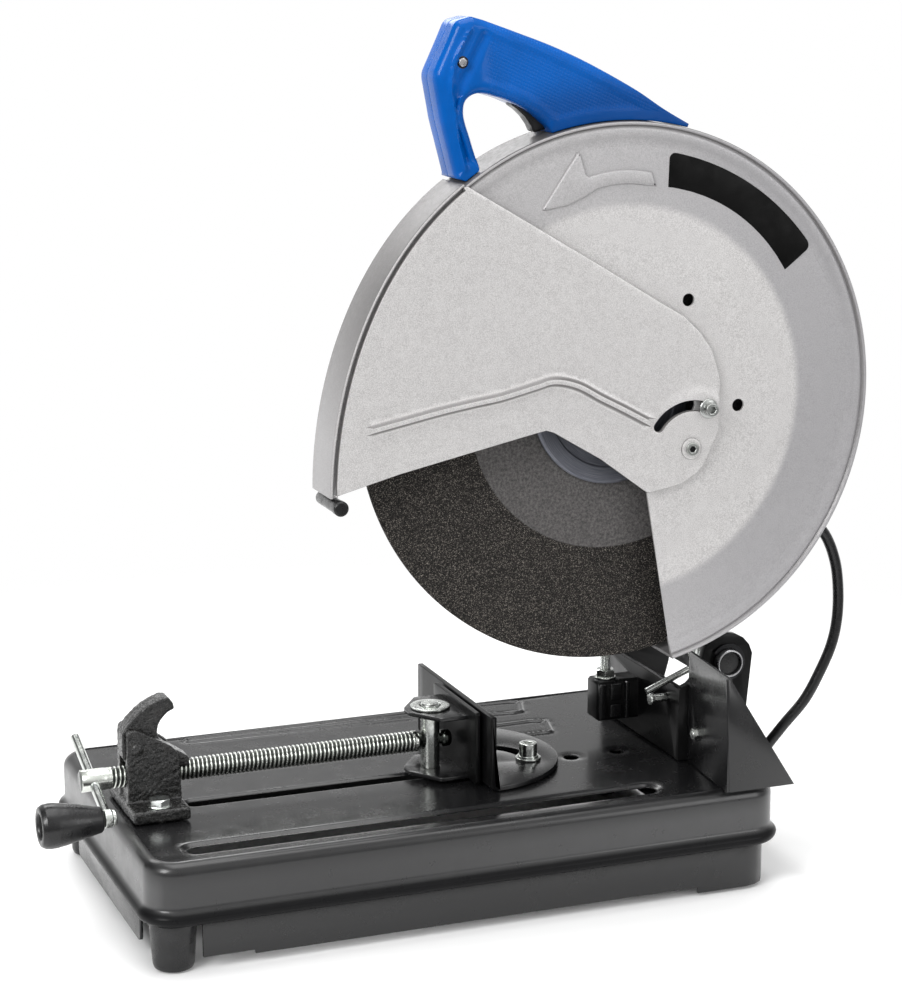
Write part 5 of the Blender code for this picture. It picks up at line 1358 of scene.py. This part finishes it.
STOP = (160.5, 18.0)


def stop_screw():
    bottom, top, crest, pitch, count = 86, 150.0, 4.0, 1.25, 32
    stations = [(bottom, 0.01), (bottom, crest - 0.9)]
    for z in np.arange(bottom + 1.0, top - 1.0, pitch / 8):
        phase = (z / pitch - ring_angles(count) / (2 * np.pi)) % 1.0
        rise = np.clip(np.abs(phase * 2 - 1) * 1.5 - 0.2, 0, 1)
        stations.append((z, crest - 0.45 * pitch * (1 - rise)))
    stations += [(top, crest - 0.9), (top, 0.01)]
    rings = [ring("Z", STOP, radius, z, count) for z, radius in stations]
    return mesh_obj("stop_screw", "zinc", *loft(rings, caps=False), 180, weld=0)


put(stop_screw(), "depth_stop", "depth_stop_bolt")
put(merge("stop_nut", hex_bar("nut", "zinc", 7.4, 119.4, 125.4, STOP, turn=0.1),
          lathe("washer", "zinc", tube(4.2, 8.0, 118.9, 119.9), STOP, "Z", 40, 0.2)),
    "base", "depth_stop_nut")
LOCK_PIN, DEFLECTOR = (-38.0, 117.0), (-76.0, 100.0)      # y and z
put(merge("transport_pin",
          lathe("pin", "zinc", [(0, 171.5), (3.0, 171.5), (3.0, 196.2), (2.2, 197.0), (0, 197.0)],
                LOCK_PIN, "X", 40, 0.2),
          lathe("head", "zinc", [(0, 169.0), (3.8, 169.0), (4.6, 169.8), (4.6, 172.0), (0, 172.0)],
                LOCK_PIN, "X", 48, 0.3)), "lock_pin", "lock_pin")
put(merge("deflector_screw",
          lathe("shank", "zinc", [(0, 184.4), (2.0, 184.4), (2.6, 185.0), (3.0, 196.0), (0, 196.0)],
                DEFLECTOR, "X", 32, 0.3),
          hex_bar("head", "zinc", 4.6, 188.0, 185.0, DEFLECTOR, "X")), "base", "deflector_bolt")

# ------------------------------------------------------------------ cord
CORD_X = MOTOR_X + 22      # where it leaves the head
CORD = [(CORD_X, 20.0, 303.5), (CORD_X, 20, 298), (MOTOR_X + 25, 16, 291), (MOTOR_X + 34, 8, 284),
        (205, -8, 274), (235, -24, 266), (268, -38, 255), (290, -42, 242), (305.2, -42, 228.4),
        (315, -42, 207.1), (318.6, -42, 184.3), (318.3, -42, 161.6), (314.3, -42, 143.1),
        (304.2, -42, 121.3), (294, -41, 103.3), (278, -38, 84), (264, -32, 62), (256, -22, 34),
        (252, -8, 12), (250, 8, 4.6), (248, 30, 4.3), (247, 60, 4.3), (246, 74, 5),
        (245.5, 79.7, 6.5)]
parts = [sweep("cable", "black_rubber", smooth_line(CORD, 4.0), 3.98, 24)]
plug = fillet([(232.8, 84), (236.5, 77.4), (254.5, 77.4), (258.2, 84), (257.4, 106), (254, 109),
               (237, 109), (233.6, 106)], 4, 5)
for z in (20.0, 0.35):
    parts.append(sheet("plug_half", "black_rubber", [plug], 10.2, z, bevel=5.0, steps=6,
                       edge_step=1.5, sharp=60))
blade = fillet([(105, 8.8), (125, 9.6), (125, 14.4), (105, 15.2)], [0, 1.5, 1.5, 0], 3)
for x in (239.2, 251.8):
    parts.append(sheet("blade", "steel", [blade], x - 0.8, x + 0.8, "X", bevel=0.3,
                       bevel_back=0.3))


def metres(x, y, z):
    return tuple(Vector(((x + BASE_X) * MM, y * MM, z * MM)))


cord = merge("cable_and_plug", *parts)
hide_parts("power_cord")
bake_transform(cord, "base", "head", start=metres(292, -40, 95), end=metres(MOTOR_X + 24, 18, 296))
put(lathe("cord_sleeve", "black_rubber",
          [(4.2, 305), (7.0, 305), (6.6, 308), (7.2, 309), (6.8, 312), (7.4, 313), (7.0, 316),
           (7.6, 317), (7.3, 320), (8.0, 321), (8.0, 339.5), (4.2, 339.5), (4.2, 305)],
          (CORD_X, 20.0), "Z", 48, 0.3), "head", "strain_relief")

# ------------------------------------------------------------------ button and stop block
put(lathe("button_cap", "black_plastic",
          [(0, 394), (4.0, 394), (4.0, 411.6), (6.2, 411.6), (6.2, 415.8), (5.0, 417), (0, 417.0)],
          (WHEEL_X - 6, -51.5), "Z", 40, 0.4), "lock_button", "spindle_lock_button")
# raised pads and a rib on the face of the stop block: x0, x1, z0, z1, y of the face
PADS = [(151.5, 156.5, 90, 116.5, 6.4), (159.5, 168.5, 91, 101, 5.6),
        (159.5, 168.5, 104, 116.5, 5.6), (171.5, 174.5, 89.5, 117, 5.2)]
put(merge("stop_block_pads",
          *(sheet("pad", "black_enamel", [fillet([(x0, z0), (x1, z0), (x1, z1), (x0, z1)], 1.2, 4)],
                  8.4, y, "Y", bevel=0.7, edge_step=2) for x0, x1, z0, z1, y in PADS)), "base")

# ------------------------------------------------------------------ CAD nodes shown as they are
for name, obj in nodes.items():
    if obj.hide_render:
        continue
    me = obj.data
    slot = me.materials[0].name.split(".")[0] if me.materials and me.materials[0] else ""
    drop_custom_normals(me)
    # the pivot bracket takes the painted-shade copy of the enamel
    finish = "shaded_enamel" if name == "pivot_bracket" else slot
    me.materials.clear()
    me.materials.append(MATS.get(finish, MATS["black_plastic"]))
    me.polygons.foreach_set("material_index", [0] * len(me.polygons))
    obj.modifiers.new("weld", "WELD").merge_threshold = 1e-5
    bevel = obj.modifiers.new("round", "BEVEL")
    bevel.limit_method = "ANGLE"
    bevel.angle_limit = math.radians(40)
    bevel.width = 0.45 * MM
    bevel.segments = 2
    bevel.miter_outer = "MITER_ARC"
    me.shade_smooth()
    me.set_sharp_from_angle(angle=math.radians(38))


# ------------------------------------------------------------------ floor
def floor_material():
    mat = Mat("floor", grey(0.86), rough=0.6)
    mat.set("Emission Color", (1, 1, 1))
    mat.set("Base Color", mat.mix(mat.step(mat.noise(scale=3, detail=2)), grey(0.85), grey(0.88)))
    place = mat.xyz()
    # painted shadow: the floor glows only outside a rectangle under the base
    half_x, half_y, shift_y = 0.235, 0.125, -0.01
    outside = mat.most(
        mat.sub(mat.math("ABSOLUTE", place[0]), half_x),
        mat.sub(mat.math("ABSOLUTE", mat.add(place[1], shift_y)), half_y))
    mat.set("Emission Strength", mat.step(outside, over=(-0.01, 0.015), to=(0.0, 0.16)))
    # and fades away with distance
    far = mat.step(mat.length(place[0], place[1]), over=(0.5, 0.9))
    clear = mat.new("BsdfTransparent").outputs[0]
    both = mat.new("MixShader", far, mat.shader.outputs[0], clear).outputs[0]
    mat.put(mat.tree.nodes["Material Output"].inputs["Surface"], both)
    return mat.mat


scene = bpy.context.scene
floor_mat = floor_material()
bm = bmesh.new()
bmesh.ops.create_grid(bm, x_segments=1, y_segments=1, size=6.0)
me = bpy.data.meshes.new("floor")
bm.to_mesh(me)
bm.free()
me.materials.append(floor_mat)
floor = bpy.data.objects.new("floor", me)
floor.location = (0, 0, -0.0005)
root.objects.link(floor)


# ------------------------------------------------------------------ world
def studio():
    """White to the camera, softer as light, and a graded studio for what polished pieces mirror."""
    world = bpy.data.worlds.new("studio")
    scene.world = world
    world.use_nodes = True
    sky = Nodes(world.node_tree)
    white = (1, 1, 1, 1)
    ambient = sky.tree.nodes["Background"]
    ambient.inputs["Color"].default_value = white
    ambient.inputs["Strength"].default_value = 0.62
    backdrop = sky.new("Background", white, 1.0)
    # Incoming points back along the ray, so its signs are turned
    back = sky.new("SeparateXYZ", sky.new("NewGeometry").outputs["Incoming"]).outputs
    beyond = sky.step(back[2], over=(-0.04, -0.5), to=(1.75, 0.12))      # lower is brighter
    overhead = sky.step(back[2], over=(-0.55, -0.85), to=(0.0, 0.55))
    behind_camera = sky.step(back[2], over=(0.2, -0.65), to=(0.40, 1.3))
    side = sky.step(back[1], over=(-0.35, 0.45))
    strength = sky.new("Mix", side)
    sky.put(strength.inputs[2], sky.add(beyond, overhead))
    sky.put(strength.inputs[3], behind_camera)
    mirrored = sky.new("Background")
    sky.put(mirrored.inputs["Strength"], strength.outputs[0])
    rays = sky.new("LightPath").outputs
    lit = sky.new("MixShader", rays["Is Glossy Ray"], ambient.outputs[0], mirrored.outputs[0])
    seen = sky.new("MixShader", rays["Is Camera Ray"], lit.outputs[0], backdrop.outputs[0])
    sky.put(sky.tree.nodes["World Output"].inputs["Surface"], seen.outputs[0])


studio()

# ------------------------------------------------------------------ lights and camera
# name, location, target, width, height (metres), watts
LIGHTS = [("key", (-2.1, -1.3, 1.7), (0, 0, 0.3), 1.0, 1.2, 46),
          ("top", (0.1, 0.0, 2.3), (0, 0, 0.2), 1.8, 1.8, 32),
          ("fill", (1.6, -2.2, 1.0), (0, 0, 0.25), 1.0, 1.4, 12),
          ("rim", (-0.1, 1.7, 1.5), (0, -0.1, 0.5), 1.6, 0.6, 16)]
for name, location, target, width, height, watts in LIGHTS:
    light = bpy.data.lights.new(name, "AREA")
    light.shape = "RECTANGLE"
    light.size, light.size_y = width, height
    light.energy = watts
    obj = bpy.data.objects.new(name, light)
    obj.location = location
    aim = Vector(target) - Vector(location)
    obj.rotation_euler = aim.to_track_quat("-Z", "Y").to_euler()
    root.objects.link(obj)

scene.view_settings.view_transform = "Standard"
scene.view_settings.look = "None"

lens = bpy.data.cameras.new("camera")
lens.lens = 91.85
lens.sensor_width = 36
lens.sensor_height = 36
lens.sensor_fit = "AUTO"
lens.clip_start = 0.05
turn, rise = math.radians(-21.35), math.radians(12.67)      # round z, and above the floor
place = Vector((-0.6228, -1.6175, 0.6567))
right = Vector((math.cos(turn), math.sin(turn), 0))
backward = Vector((math.sin(turn) * math.cos(rise), -math.cos(turn) * math.cos(rise),
                   math.sin(rise)))
upward = backward.cross(right)
camera = bpy.data.objects.new("camera", lens)
camera.matrix_world = Matrix((*((right[i], upward[i], backward[i], place[i]) for i in range(3)),
                              (0, 0, 0, 1)))
root.objects.link(camera)
scene.camera = camera
